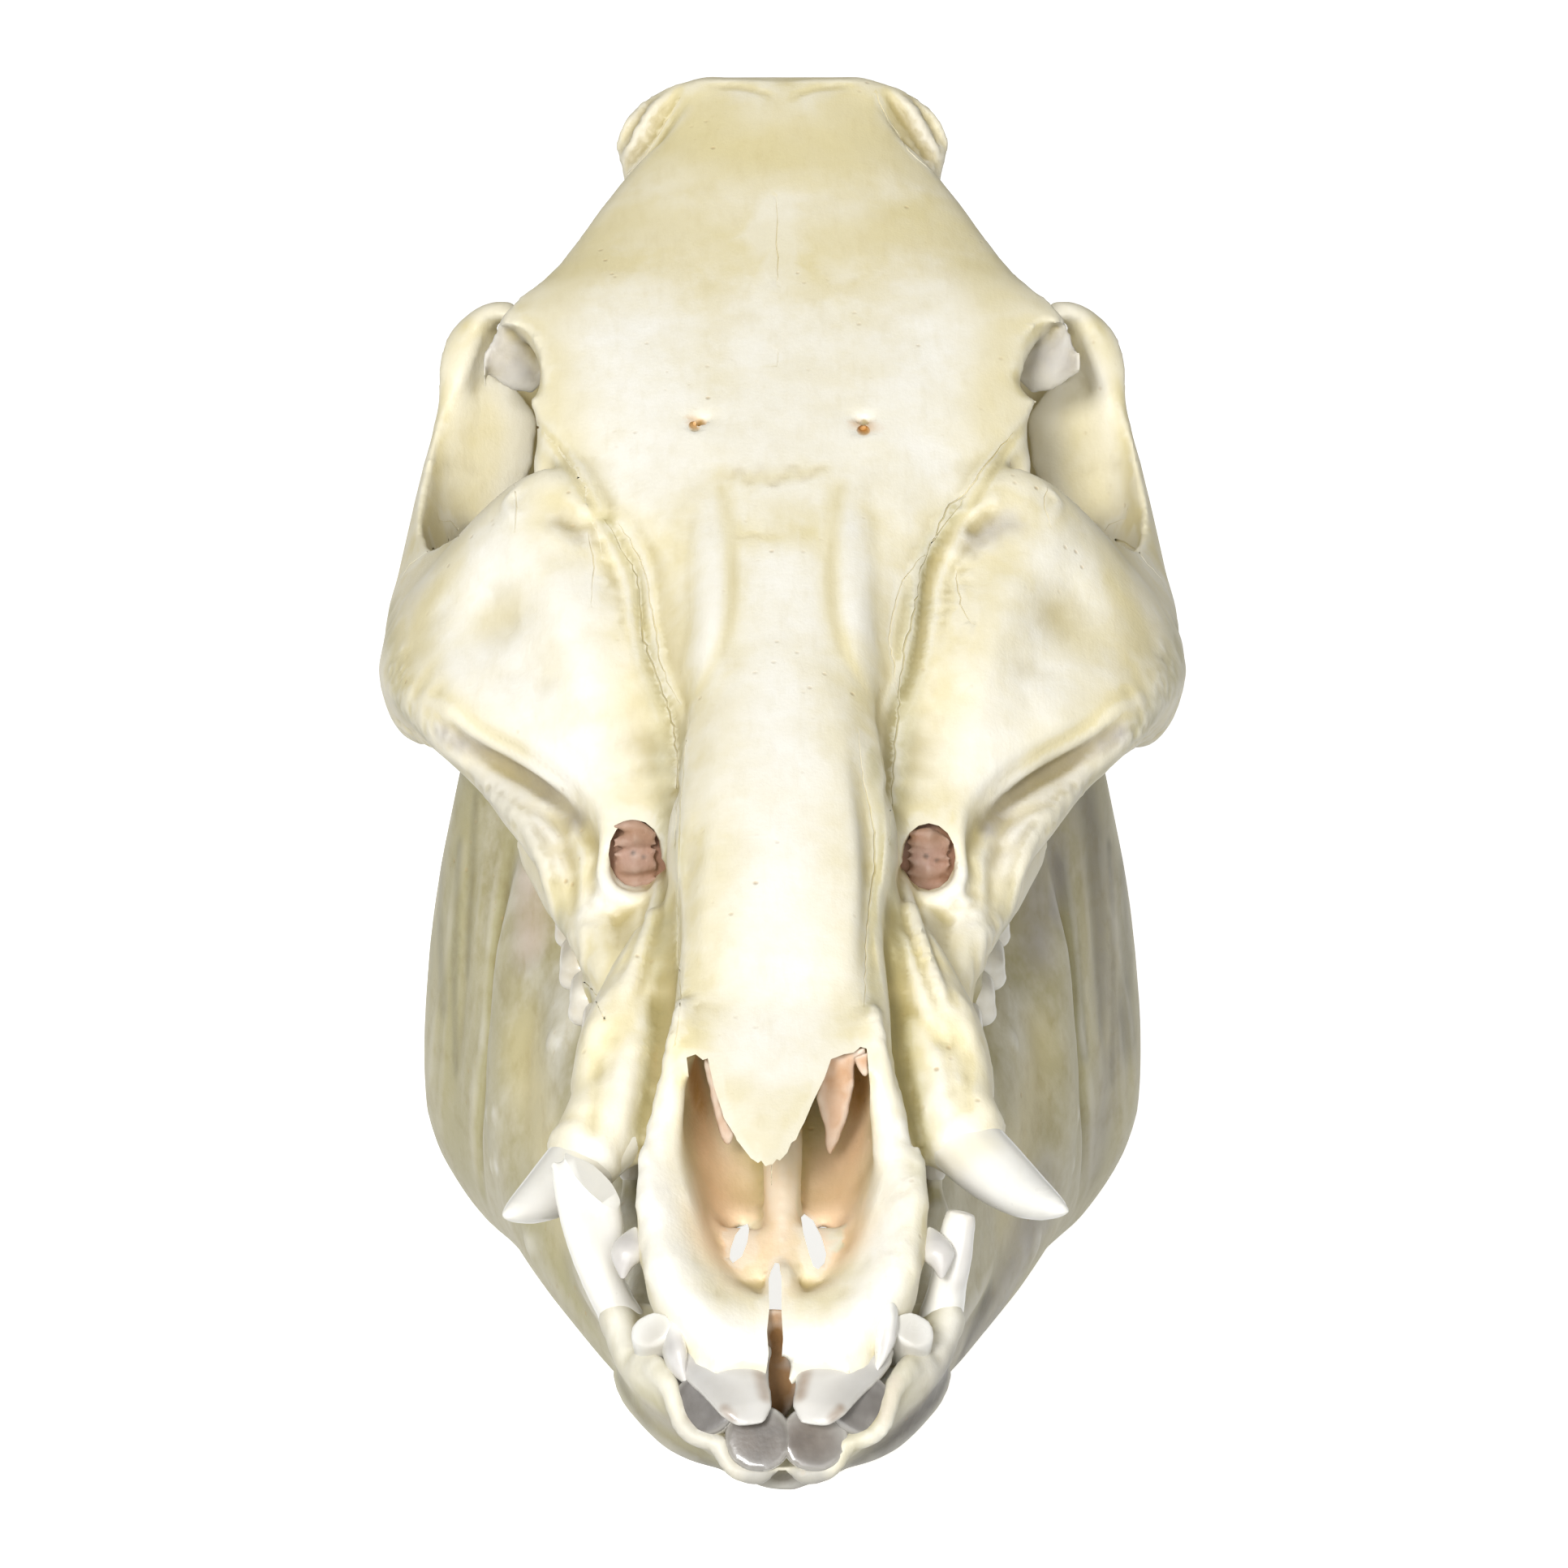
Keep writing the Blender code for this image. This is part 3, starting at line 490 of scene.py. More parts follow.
# What is smoothed on both sides: places in the picture's left half or in mm, reach in mm, and passes.
for side in (-1, 1):
    for places, reach, passes in (
            (((700, 500, 207), (702, 540, 200), (700, 580, 192), (672, 605, 195)), 13, 60),
            (((505, 780, 188), (520, 850, 185), (560, 890, 178), (500, 870, 190)), 12, 50),
            (((562, 500, 257), (556, 550, 254), (552, 600, 250), (560, 640, 247), (600, 520, 255)), 8, 60),
            (((600, 560, 255), (590, 605, 252), (570, 635, 248)), 9, 60)):
        skin.soften(seen(*on_side(side, places)), reach, passes)
    for places, reach, passes in (
            (((40, 140, 90), (36, 120, 88), (32, 100, 84)), 13, 50),
            (((8, 38, 69), (8, 20, 69)), 8, 40),
            (((24, 90, 98), (25, 80, 94), (26, 72, 90)), 7, 20),
            (((22, 68, 88), (24, 62, 84), (27, 57, 80), (30, 54, 78)), 6, 14),
            (((17, 22, 73), (14, 14, 68.5), (8, 10, 66), (2, 9, 65)), 10, 90),
            (((20, 34, 78), (23, 24, 70), (17, 10, 63)), 8, 60)):
        skin.soften([at(side * x, y, z) for x, y, z in places], reach, passes)

# Broad forms first: hollows and swellings that take light over a finger's width.
LEFT_BROAD = (
    # facial crest over its hollow, and the edge under it
    ([(500, 850), (560, 880), (614, 906), (668, 930), (712, 960), (745, 1000)], 13, 1.8),
    ([(560, 905), (601, 926), (627, 940), (654, 956), (681, 974), (713, 1010), (722, 1030)], 5.0, -3.2),
    ([(560, 925), (601, 946), (640, 970), (675, 1004), (700, 1050), (705, 1100)], 9, -2.2),
    ([(562, 952), (600, 974), (636, 999), (660, 1036), (676, 1088), (686, 1140)], 5, 1.2),
    # valley between cheek plate and nose
    ([(690, 625), (725, 660), (755, 690), (780, 748), (798, 827), (812, 894), (820, 990)], 14, -4.0),
    # hollow and swellings of the cheek plate
    ([(590, 780), (630, 750)], 14, -1.2),
    ([(530, 800), (560, 840), (600, 880), (660, 905)], 14, 1.2),
    ([(560, 700), (640, 670), (700, 740), (730, 840), (740, 920)], 12, 1.6),
    # grooves from the brow openings down to the nose, and the swelling between them
    ([(858, 560), (860, 620), (846, 700), (832, 780), (836, 870)], 8, -0.9),
    ([(880, 620), (880, 720), (862, 830)], 8, 0.8),
    ([(908, 610), (905, 700), (893, 790), (868, 870), (850, 940)], 6, -0.6),
    # wing of the crest
    ([(836, 112), (806, 166), (764, 216)], 4.5, -1.6),
    ([(790, 150), (775, 185)], 11, -1.5),
    # flank of the nose
    ([(846, 880), (834, 1000), (826, 1100), (830, 1220)], 8, -1.6),
    ([(812, 980), (812, 1080), (815, 1180), (812, 1260)], 6, -1.0),
    # step between the nasal bones and the flank
    ([(848, 1010), (842, 1120), (842, 1230)], 4.5, -1.0),
    # upper jaw between the foramen and the tusk socket
    ([(800, 1110), (770, 1160), (745, 1220)], 10, -0.8),
)
skin.work(LEFT_BROAD)
skin.work(other_side(LEFT_BROAD))
skin.work([([(1062, 930), (1076, 1030), (1075, 1140), (1070, 1240)], 4.5, -1.7),
           ([(1108, 1150), (1136, 1215), (1166, 1258), (1198, 1288)], 4, 1.2),
           ([(760, 1245), (740, 1270), (727, 1291), (716, 1340), (709, 1392)], 4, 1.0),
           ([(1199, 1289), (1208, 1330), (1215, 1380)], 4, 1.0),
           ([(1101, 1190), (1101, 1250), (1112, 1330), (1126, 1395), (1142, 1424)], 3.6, -1.4),
           ([(822, 1200), (810, 1290), (800, 1350), (792, 1405), (780, 1430)], 3.6, -1.4),
           ([(1120, 1190), (1136, 1250), (1160, 1310), (1176, 1380)], 3.2, 0.7),
           ([(790, 1250), (776, 1300), (764, 1350), (752, 1400)], 3.2, 0.7)])
LEFT_FINE = (
    ([(743, 637), (765, 675), (783, 710), (792, 778), (800, 810), (811, 839), (826, 888),
      (833, 961), (831, 1040)], 2.4, -0.8),
    ([(757, 628), (780, 662), (796, 700), (804, 770), (815, 825), (838, 880)], 2.0, 0.7),
    ([(735, 640), (752, 672), (770, 715), (780, 770), (790, 820)], 1.8, 0.5),
    ([(690, 640), (712, 650), (736, 668)], 4.5, -0.5), ([(700, 610), (722, 634)], 2.4, 0.5),
    ([(515, 862), (545, 871), (590, 905), (645, 936), (694, 972), (717, 996)], 2.2, 1.0),
    ([(585, 922), (625, 946), (665, 968), (697, 994)], 2.6, -0.9),
    ([(566, 948), (580, 972), (608, 984), (627, 998), (646, 1018), (660, 1046), (672, 1080), (683, 1130)],
    1.8, 0.7),
    ([(822, 1010), (815, 1060), (803, 1120), (784, 1180), (764, 1240)], 2.2, 0.7),
    ([(818, 1100), (800, 1170), (786, 1235)], 1.8, -0.6),
    ([(806, 1080), (790, 1140), (770, 1195)], 1.8, -0.5),
    ([(700, 1156), (716, 1148), (719, 1200)], 2.0, 0.6),
    ([(739, 1000), (746, 1030), (744, 1075), (760, 1102), (786, 1106), (812, 1090)], 2.2, 0.9),
    ([(720, 1015), (730, 1045), (726, 1085), (736, 1120)], 3.0, -0.8),
    ([(650, 990), (690, 1020), (704, 1070), (706, 1130)], 2.6, -0.6),
    ([(628, 1000), (660, 1010), (690, 1040)], 1.6, 0.5),
    # brow rim and the edge where the forehead turns down to the orbit
    ([(700, 560), (726, 596), (744, 632)], 2.2, 0.6), ([(660, 520), (690, 556), (716, 594)], 1.6, -0.5),
    ([(636, 640), (624, 620), (640, 600)], 1.8, 0.5),
    # wing of the crest, striated, and the crest's edge
    ([(838, 110), (812, 150), (792, 180), (766, 214)], 1.8, -1.0),
    ([(826, 112), (800, 140), (778, 176), (760, 206)], 1.4, 0.6),
    ([(812, 112), (786, 142), (768, 172), (757, 198)], 1.2, -0.6),
    ([(798, 116), (776, 146), (760, 180)], 1.2, 0.5), ([(794, 132), (780, 156), (770, 184)], 1.1, -0.5),
    ([(880, 106), (915, 108), (940, 114), (953, 124)], 1.5, -0.35),
    ([(870, 100), (920, 100), (955, 102)], 1.6, 0.25),
    # grooves between the lobes of the brow
    ([(889, 590), (900, 640), (902, 720), (892, 790), (868, 842), (850, 862)], 2.4, -0.3),
    ([(860, 620), (848, 680), (848, 760), (838, 830)], 2.0, -0.2),
)
skin.work(LEFT_FINE, 1)
skin.work(other_side(LEFT_FINE), 1)
skin.work([([(1107, 1044), (1113, 1089), (1130, 1140), (1147, 1191), (1173, 1249)], 1.8, 0.8),
           ([(1098, 1156), (1110, 1200), (1125, 1240)], 1.6, 0.7),
           ([(1115, 1150), (1130, 1195), (1144, 1240)], 1.5, 0.6),
           ([(1106, 1170), (1118, 1215), (1134, 1262)], 1.4, -0.6),
           ([(1126, 1160), (1140, 1200), (1158, 1250)], 1.4, -0.5),
           ([(1150, 1262), (1166, 1310), (1180, 1372)], 1.8, -0.4), ([(1190, 1310), (1196, 1370)], 1.6, -0.3),
           ([(736, 1300), (734, 1360), (728, 1404)], 1.8, -0.4), ([(1449, 742), (1462, 750)], 1.5, -1.2),
           ([(1194, 655), (1222, 628)], 2.6, -0.9), ([(705, 650), (685, 640)], 2.2, -0.5)], 1)
skin.work([([(889, 586), (898, 592), (905, 584), (910, 575), (919, 583), (923, 595), (933, 590),
             (939, 580)], 1.0, -0.2),
           ([(939, 580), (947, 594), (956, 597), (960, 586), (970, 588), (975, 573), (983, 577),
             (988, 591)], 1.0, -0.2),
           ([(988, 591), (1000, 586), (1004, 577), (1015, 576), (1022, 566)], 1.0, -0.2),
           ([(905, 655), (914, 663), (926, 657), (936, 660), (946, 666), (955, 656)], 1.0, -0.15)], 1)
skin.roughen([
    ([(488, 815), (494, 855), (512, 895), (545, 905)], 6, 0.26, 1.8),
    ([(1440, 815), (1434, 855), (1416, 895), (1383, 905)], 6, 0.26, 1.8),
    ([(480, 760), (492, 850), (530, 880)], 9, 0.25, 4.0),
    ([(1448, 760), (1436, 850), (1398, 880)], 9, 0.25, 4.0),
    ([(498, 900), (520, 912)], 4, 0.8, 2.6), ([(1430, 900), (1398, 915)], 4, 0.9, 2.6),
    ([(580, 965), (640, 1010), (670, 1080)], 3.5, 0.25, 1.5),
    ([(1348, 965), (1288, 1010), (1258, 1080)], 3.5, 0.25, 1.5),
    ([(740, 1110), (700, 1150), (730, 1210)], 6, 0.25, 2.2),
    ([(1190, 1110), (1230, 1150), (1200, 1210)], 6, 0.35, 2.2),
    ([(760, 1270), (750, 1340), (745, 1400)], 7, 0.3, 3.4),
    ([(1165, 1240), (1170, 1320), (1180, 1390)], 7, 0.4, 3.4),
    ([(720, 640), (740, 700), (770, 760)], 4, 0.16, 1.8),
    ([(1210, 640), (1188, 700), (1160, 760)], 4, 0.2, 1.8),
    ([(960, 240), (960, 520)], 60, 0.10, 9.0), ([(620, 740), (690, 880)], 30, 0.12, 6.0),
    ([(1308, 740), (1238, 880)], 30, 0.12, 6.0),
    ([(800, 130), (770, 190)], 6, 0.35, 1.4), ([(1130, 130), (1150, 190)], 6, 0.35, 1.4),
    ([(840, 1230), (812, 1330), (795, 1430), (800, 1560)], 3.5, 0.3, 2.4),
    ([(1080, 1240), (1108, 1340), (1118, 1440), (1108, 1570)], 3.5, 0.3, 2.4),
])
# Seams where the bones of the skull meet, cut as thin wavy lines: places, width in mm, bends in pixels.
CRANIUM_SEAMS = (
    ([(661, 524), (680, 545), (700, 568), (719, 594), (724, 625), (735, 655), (743, 690)], 0.5, 2.0),
    ([(1248, 534), (1217, 570), (1193, 602), (1172, 622), (1144, 676)], 0.5, 2.2),
    ([(633, 596), (636, 625), (634, 656)], 0.4, 1.6), ([(1290, 600), (1288, 628), (1296, 650)], 0.4, 1.6),
    ([(724, 655), (731, 700), (728, 748)], 0.3, 1.8), ([(1178, 700), (1184, 745), (1200, 770)], 0.3, 1.8),
    ([(541, 640), (560, 646), (566, 660), (541, 673), (511, 690), (490, 716)], 0.5, 1.6),
    ([(1388, 640), (1366, 646), (1362, 660), (1392, 672), (1420, 700), (1440, 730)], 0.5, 1.6),
    ([(745, 640), (766, 676), (784, 711), (792, 778), (800, 810), (812, 842), (828, 888),
      (835, 961), (832, 1040)], 0.42, 1.6),
    ([(1190, 612), (1142, 682), (1129, 741), (1114, 802), (1107, 875), (1100, 960), (1096, 1040)], 0.42, 1.8),
    ([(1140, 684), (1113, 717), (1096, 778), (1101, 814), (1106, 860)], 0.4, 1.6),
    ([(760, 640), (792, 700), (806, 770), (818, 830), (842, 872)], 0.35, 1.6),
    ([(849, 880), (840, 970), (836, 1053), (836, 1150), (838, 1230), (832, 1288)], 0.45, 0.9),
    ([(1058, 900), (1064, 961), (1075, 1010), (1078, 1060), (1068, 1150), (1065, 1240)], 0.45, 1.0),
    ([(958, 240), (957, 290), (959, 325), (957, 353)], 0.3, 1.2), ([(959, 430), (957, 452)], 0.3, 0.8),
    ([(838, 120), (811, 166), (788, 200), (765, 220)], 0.6, 0.8),
    ([(1078, 112), (1096, 150), (1124, 190), (1150, 212)], 0.6, 0.8),
    ([(690, 1170), (700, 1196), (716, 1208), (730, 1220), (744, 1258)], 0.4, 1.0),
)
# The openings for nerves, the edge of the nasal bones, and the slots of the palate are cut clean.
OPENINGS = [
    swept("nerve_opening", seen((784, 1052, 98), (783, 1052, 112), (781, 1051, 128), (779, 1050, 145)),
          (9.9, 9.5, 9, 8), 1.28, (0, 0.3, 1)),
    swept("nerve_opening", seen((1144, 1056, 98), (1144, 1056, 112), (1146, 1055, 128), (1148, 1054, 145)),
          (10, 9.6, 9, 8), 1.26, (0, 0.3, 1)),
    swept("brow_opening", seen((855, 524, 185), (856, 524, 198), (857, 522, 201.4)), (3.2, 3.2, 3.0), 0.8),
    swept("brow_opening", seen((1065, 528, 185), (1064, 529, 198), (1063, 527, 200.4)),
          (3.9, 3.9, 3.6), 0.76),
    sight_block("nose_edge", [(846, 1303), (857, 1299), (866, 1306), (872, 1304), (876, 1322), (880, 1340),
                              (889, 1367), (892, 1378), (906, 1400), (908, 1406), (856, 1406), (850, 1340)],
                5, 51),
    sight_block("nose_edge", [(1068, 1292), (1060, 1290), (1052, 1297), (1040, 1299), (1024, 1305),
                              (1016, 1328), (1001, 1359), (991, 1383), (986, 1392), (980, 1406),
                              (1071, 1406), (1072, 1340)], 5, 52),
    sight_block("palate_slot", [(903, 1556), (899, 1551), (900, 1540), (906, 1522), (914, 1511),
                                (921, 1508), (923, 1514), (921, 1530), (914, 1548)], 0, 95),
    sight_block("palate_slot", [(1016, 1556), (1008, 1564), (1002, 1560), (997, 1545), (990, 1520),
                                (987, 1500), (991, 1496), (1002, 1504), (1012, 1524), (1018, 1545)], 0, 95),
    sight_block("middle_slot", [(955, 1556), (950, 1566), (947, 1576), (948, 1612), (945, 1640),
                                (947, 1668), (944, 1690), (938, 1718), (982, 1718), (968, 1690),
                                (963, 1676), (965, 1650), (963, 1618), (963, 1574), (961, 1566), (960, 1557)],
                -8, 95),
]
NOSE_TIP = [
    sight_block("nose_edge", [(864, 1405), (907, 1404), (912, 1410), (925, 1427), (934, 1433), (938, 1430),
                              (943, 1437), (951, 1434), (951, 1490), (890, 1490)], 0, 34),
    sight_block("nose_edge", [(981, 1404), (975, 1408), (970, 1420), (961, 1430), (957, 1428), (950, 1437),
                              (950, 1490), (1020, 1490), (1060, 1405)], 0, 34),
]
cut_out(cranium, [joined("openings", OPENINGS), joined("nose_tip", NOSE_TIP),
                  joined("seams", seam_tools(Skin(cranium), CRANIUM_SEAMS))])
thinned(cranium, CRANIUM_TRIANGLES)

# Stains, bleaching and painted light and shade: places in the front picture, width in mm, strength.
# The grey layer is painted shade, and the dark layer is painted shadow with a few real pits. The olive and
# yellowed layers are partly their own tint and partly painted shade on edges and valleys that turn from the
# light. The bleached and fleshy layers are partly their own colour and partly painted light on faces in
# shade.
STAIN_AND_SHADE_NAMES = ("bleached_and_painted_light", "yellowed_and_painted_shade", "olive", "greyed", "fleshy_and_painted_light", "amber", "browned", "darkened")
WHITE, YELLOW, OLIVE, GREY_SHADE, PEACH, AMBER, BROWN, DARK_SHADE_AND_PITS = STAIN_AND_SHADE_NAMES
CRANIUM_STAINS_AND_SHADE = {
    WHITE: [
        ([(780, 420), (800, 560)], 26, 1.0), ([(960, 430), (960, 560)], 30, 0.8),
        ([(1140, 420), (1120, 560)], 26, 0.9),
        ([(960, 700), (962, 900), (960, 1100), (950, 1300)], 15, 1.0), ([(880, 620), (880, 820)], 6, 0.9),
        ([(1046, 640), (1050, 760)], 7, 0.9), ([(600, 700), (640, 860), (700, 940)], 17, 1.0),
        ([(1320, 700), (1280, 860), (1200, 930)], 15, 0.7), ([(620, 640), (560, 760), (600, 880)], 12, 0.7),
        ([(700, 720), (720, 860)], 10, 0.8), ([(800, 1400), (810, 1500), (850, 1610), (930, 1650)], 8, 1.0),
        ([(1105, 1400), (1098, 1500), (1060, 1620), (980, 1660)], 8, 1.0),
        ([(755, 1330), (735, 1420)], 9, 0.8), ([(1170, 1330), (1190, 1400)], 9, 0.6),
        ([(760, 1090), (730, 1120)], 6, 0.9), ([(1180, 1080), (1186, 1120)], 6, 0.8),
        # Painted light on the faces of the arches deep in the orbits, which lie in shade.
        ([(600, 500), (590, 610)], 15, 1.3), ([(1330, 500), (1340, 610)], 15, 1.3),
    ],
    YELLOW: [
        ([(820, 150), (960, 190), (1100, 150)], 24, 1.0), ([(760, 270), (960, 300), (1160, 270)], 14, 0.7),
        ([(700, 330), (660, 420), (690, 560)], 10, 0.8), ([(1210, 330), (1240, 420), (1220, 520)], 10, 0.8),
        ([(600, 520), (580, 620)], 14, 1.0), ([(1320, 520), (1340, 620)], 14, 1.0),
        ([(560, 420), (545, 560)], 8, 0.8), ([(1385, 480), (1395, 600)], 8, 0.8),
        ([(605, 765), (625, 755)], 7, 0.7), ([(1310, 765), (1330, 790)], 9, 0.7),
        ([(490, 760), (500, 840)], 8, 0.6),
        # Painted shade along the arches' outer edges, the brows and the cheek plates' edges, which turn from
        # the light.
        ([(575, 405), (552, 470), (543, 530), (534, 600), (505, 690)], 5, 1.0),
        ([(1354, 405), (1378, 470), (1392, 560), (1408, 640), (1432, 700)], 5, 1.0),
        ([(650, 380), (676, 440), (680, 520), (704, 580), (740, 640)], 7, 0.9),
        ([(1278, 380), (1252, 440), (1248, 520), (1222, 590), (1180, 650)], 7, 0.9),
        ([(520, 640), (560, 690), (520, 760), (540, 860), (640, 920)], 6, 0.7),
        ([(1400, 640), (1370, 700), (1404, 780), (1380, 870), (1280, 930)], 7, 0.9),
        ([(744, 1180), (720, 1260), (728, 1380)], 8, 0.7),
        ([(1186, 1180), (1206, 1260), (1200, 1370)], 8, 0.7),
        ([(890, 584), (930, 590), (990, 582), (1012, 580)], 4.0, 0.7),
        ([(905, 652), (960, 664), (1005, 652)], 3.0, 0.6),
        ([(889, 600), (902, 720), (892, 790), (850, 862)], 3, 0.7),
        ([(1030, 600), (1024, 720), (1034, 780), (1076, 856)], 3, 0.7),
    ],
    OLIVE: [
        # Painted shade, with some olive tint: the valleys beside the nose, the nose's flanks and the cheek
        # plates' edges.
        ([(800, 800), (818, 900), (820, 1020), (815, 1200)], 5, 0.7),
        ([(1130, 740), (1110, 900), (1102, 1020), (1100, 1200)], 5, 0.8),
        ([(745, 640), (784, 711), (792, 778), (812, 842), (828, 888)], 2.5, 0.7),
        ([(1180, 625), (1142, 682), (1129, 741), (1114, 802)], 3, 0.8), ([(490, 870), (520, 905)], 6, 0.9),
        ([(1430, 870), (1400, 905)], 6, 0.9), ([(690, 1140), (730, 1230)], 7, 0.8),
        ([(1240, 1140), (1200, 1230)], 7, 0.8), ([(810, 1240), (800, 1330), (790, 1400)], 4, 0.8),
        ([(1100, 1240), (1130, 1380), (1145, 1480)], 5, 0.9),
        ([(484, 700), (478, 790), (488, 860)], 6, 0.6), ([(1446, 700), (1452, 790), (1440, 860)], 8, 0.8),
        ([(566, 950), (606, 984), (644, 1020), (668, 1080), (684, 1140)], 4, 0.5),
        ([(1362, 950), (1320, 990), (1282, 1020), (1258, 1080), (1246, 1130)], 4, 0.6),
        ([(840, 900), (838, 1010), (834, 1130), (836, 1230)], 3, 0.6),
        ([(1078, 930), (1086, 1040), (1080, 1140), (1076, 1240)], 3, 0.7),
    ],
    GREY_SHADE: [
        # Painted shade: under the facial crests, on the lobes behind the orbits, in the tear hollows and on
        # the crest's wings.
        ([(545, 905), (601, 928), (654, 958), (713, 1012)], 4, 1.0),
        ([(1380, 905), (1320, 935), (1260, 970), (1215, 1020)], 4, 1.0),
        ([(590, 950), (650, 1000), (690, 1060)], 7, 0.5),
        ([(1330, 950), (1270, 1000), (1230, 1060)], 7, 0.5),
        ([(604, 430), (624, 445), (640, 466)], 10, 1.0), ([(1322, 430), (1304, 445), (1288, 466)], 10, 1.0),
        ([(690, 645), (720, 660)], 5, 0.5), ([(1235, 645), (1200, 665)], 6, 0.8),
        ([(796, 130), (775, 196)], 7, 0.55), ([(1125, 130), (1148, 196)], 7, 0.55),
    ],
    PEACH: [
        # Dried flesh in the nose, and painted light: its colour is lighter than the flesh, for walls that lie
        # in shade.
        ([(858, 1318), (864, 1370), (870, 1420)], 9, 1.0),
        ([(876, 1430), (886, 1490), (900, 1540)], 12, 0.9),
        ([(1062, 1318), (1056, 1370), (1050, 1420)], 9, 1.0),
        ([(1044, 1430), (1030, 1490), (1014, 1550)], 12, 0.9),
        ([(955, 1450), (955, 1500), (950, 1550)], 8, 0.6), ([(905, 1580), (1010, 1585)], 6, 0.25),
    ],
    AMBER: [
        ([(854, 1318), (860, 1350)], 6, 0.9), ([(1060, 1314), (1058, 1350)], 6, 0.9),
        ([(757, 1030), (783, 1012), (808, 1030), (812, 1066), (790, 1092), (760, 1080)], 1.3, 0.6),
        ([(1118, 1034), (1144, 1016), (1170, 1034), (1172, 1070), (1146, 1096), (1120, 1080)], 1.3, 0.6),
        ([(852, 522), (861, 524)], 2.4, 1.0), ([(1058, 528), (1070, 530)], 2.8, 1.0),
    ],
    BROWN: [
        ([(850, 1316), (856, 1340)], 3.5, 0.35), ([(1062, 1312), (1060, 1340)], 3.5, 0.35),
        ([(889, 584), (905, 588), (911, 574), (922, 596), (938, 578), (953, 600), (974, 571), (988, 592),
          (1012, 574)], 1.2, 0.14),
        ([(912, 661), (984, 658)], 1.2, 0.1),
    ],
    DARK_SHADE_AND_PITS: [
        # Painted shadow under the brow's rim on the lobes behind the orbits.
        ([(648, 425), (652, 450), (648, 474)], 5, 0.35), ([(1280, 425), (1272, 450), (1272, 472)], 5, 0.35),
    ],
}


def stained_and_shaded(piece, stains):
    """Lays the stains, painted light and painted shade of each layer on the piece, and finds its hollows and
    ridges, where its material paints shade and light.
    """
    surface = Skin(piece)
    layers = {name: np.zeros(surface.count) for name in STAIN_AND_SHADE_NAMES}
    for name, marks in stains.items():
        for places, width, strength, *view in marks:
            touched = strength * surface.touch(places, width, *(view or ["front"]), False)
            layers[name] = np.maximum(layers[name], touched)
    # The hollows get painted shade in the material, and the fine ridges get painted light.
    fine = surface.averaged(surface.co, 4) - surface.co
    broad = surface.averaged(surface.co, 40) - surface.co
    layers["fine_hollow"] = surface.averaged(np.einsum("ij,ij->i", fine, surface.normal), 1) / (0.10 * MM)
    layers["broad_hollow"] = surface.averaged(np.einsum("ij,ij->i", broad, surface.normal), 2) / (0.8 * MM)
    # Little painted shade is left in hollows that are painted bleached or fleshy, as painted light.
    layers["broad_hollow"] *= 1 - 0.8 * np.clip(layers[WHITE] + layers[PEACH], 0, 1)
    for name, values in layers.items():
        surface.carried(name, np.clip(values, -1, 1))


stained_and_shaded(cranium, CRANIUM_STAINS_AND_SHADE)

# Mandible: the lower jaw, one bone with a broad olive plate on each side and a narrow rim of bone
# round its front teeth. Its packed form is melted, less the front teeth, and worked with strokes.
MANDIBLE_GRAIN = 0.95
MANDIBLE_TRIANGLES = 150000
mandible_lumps = (
    twin(swept("tooth_rim", seen((760, 1592, 29), (766, 1630, 24), (778, 1666, 19), (803, 1702, 12),
                                 (833, 1732, 6), (868, 1762, 2.4), (906, 1791, 0.8), (940, 1806, 1.6),
                                 (964, 1808, 1.8)),
               (6, 7, 7.5, 7, 6.4, 5.4, 4.8, 4.6, 4.6)))
    + twin(swept("tooth_lip", seen((796, 1668, 13), (816, 1694, 6.5), (829, 1718, 3.0), (837, 1750, 0.5),
                                   (858, 1772, -1.5), (886, 1778, -2.2), (893, 1798, -3.4),
                                   (912, 1814, -4.2), (938, 1817, -4.4), (964, 1806, -4.0)),
                 (5.0, 4.2, 3.8, 3.6, 3.6, 3.4, 3.4, 3.4, 3.4, 3.2)))
    + twin(swept("tooth_bed", spots((-24, 30, 50), (-20, 19, 49), (-14, 10, 46.5), (-7, 7.5, 44.6),
                                    (3, 7.5, 44.4)), (10, 13, 12, 9, 8)))
    + twin(swept("lower_socket", spots((-17, 37, 40), (-22.5, 29.5, 52), (-24, 27.3, 57.5)), (12, 13, 12),
                 0.9))
)
mandible_gaps = (
    twin(swept("incisor_gap", spots((-4.9, 4.5, 45), (-4.9, -3, 48.6), (-4.9, -9, 51.5)), (10.5, 11.5, 12)))
    + twin(swept("incisor_gap", spots((-13.1, 7, 49.6), (-13.8, 1.2, 52.8), (-14.4, -5, 56)),
                 (9.4, 10.5, 11)))
    + twin(swept("incisor_gap", spots((-20.7, 12.5, 56), (-21, 9.3, 59.6), (-21.3, 5, 64)), (7, 8, 9)))
)
mandible = melt(bone_copy("mandible_bone", "mandible", mandible_lumps, mandible_gaps), MANDIBLE_GRAIN)
jaw = Skin(mandible)
jaw.ease(2, 30, 0.6)
for side in (-1, 1):
    jaw.soften(spots((side * 23, 25, 56), (side * 20, 16, 53), (side * 14, 9, 48), (side * 7, 5, 44)), 6, 8)
rng = np.random.default_rng(7)
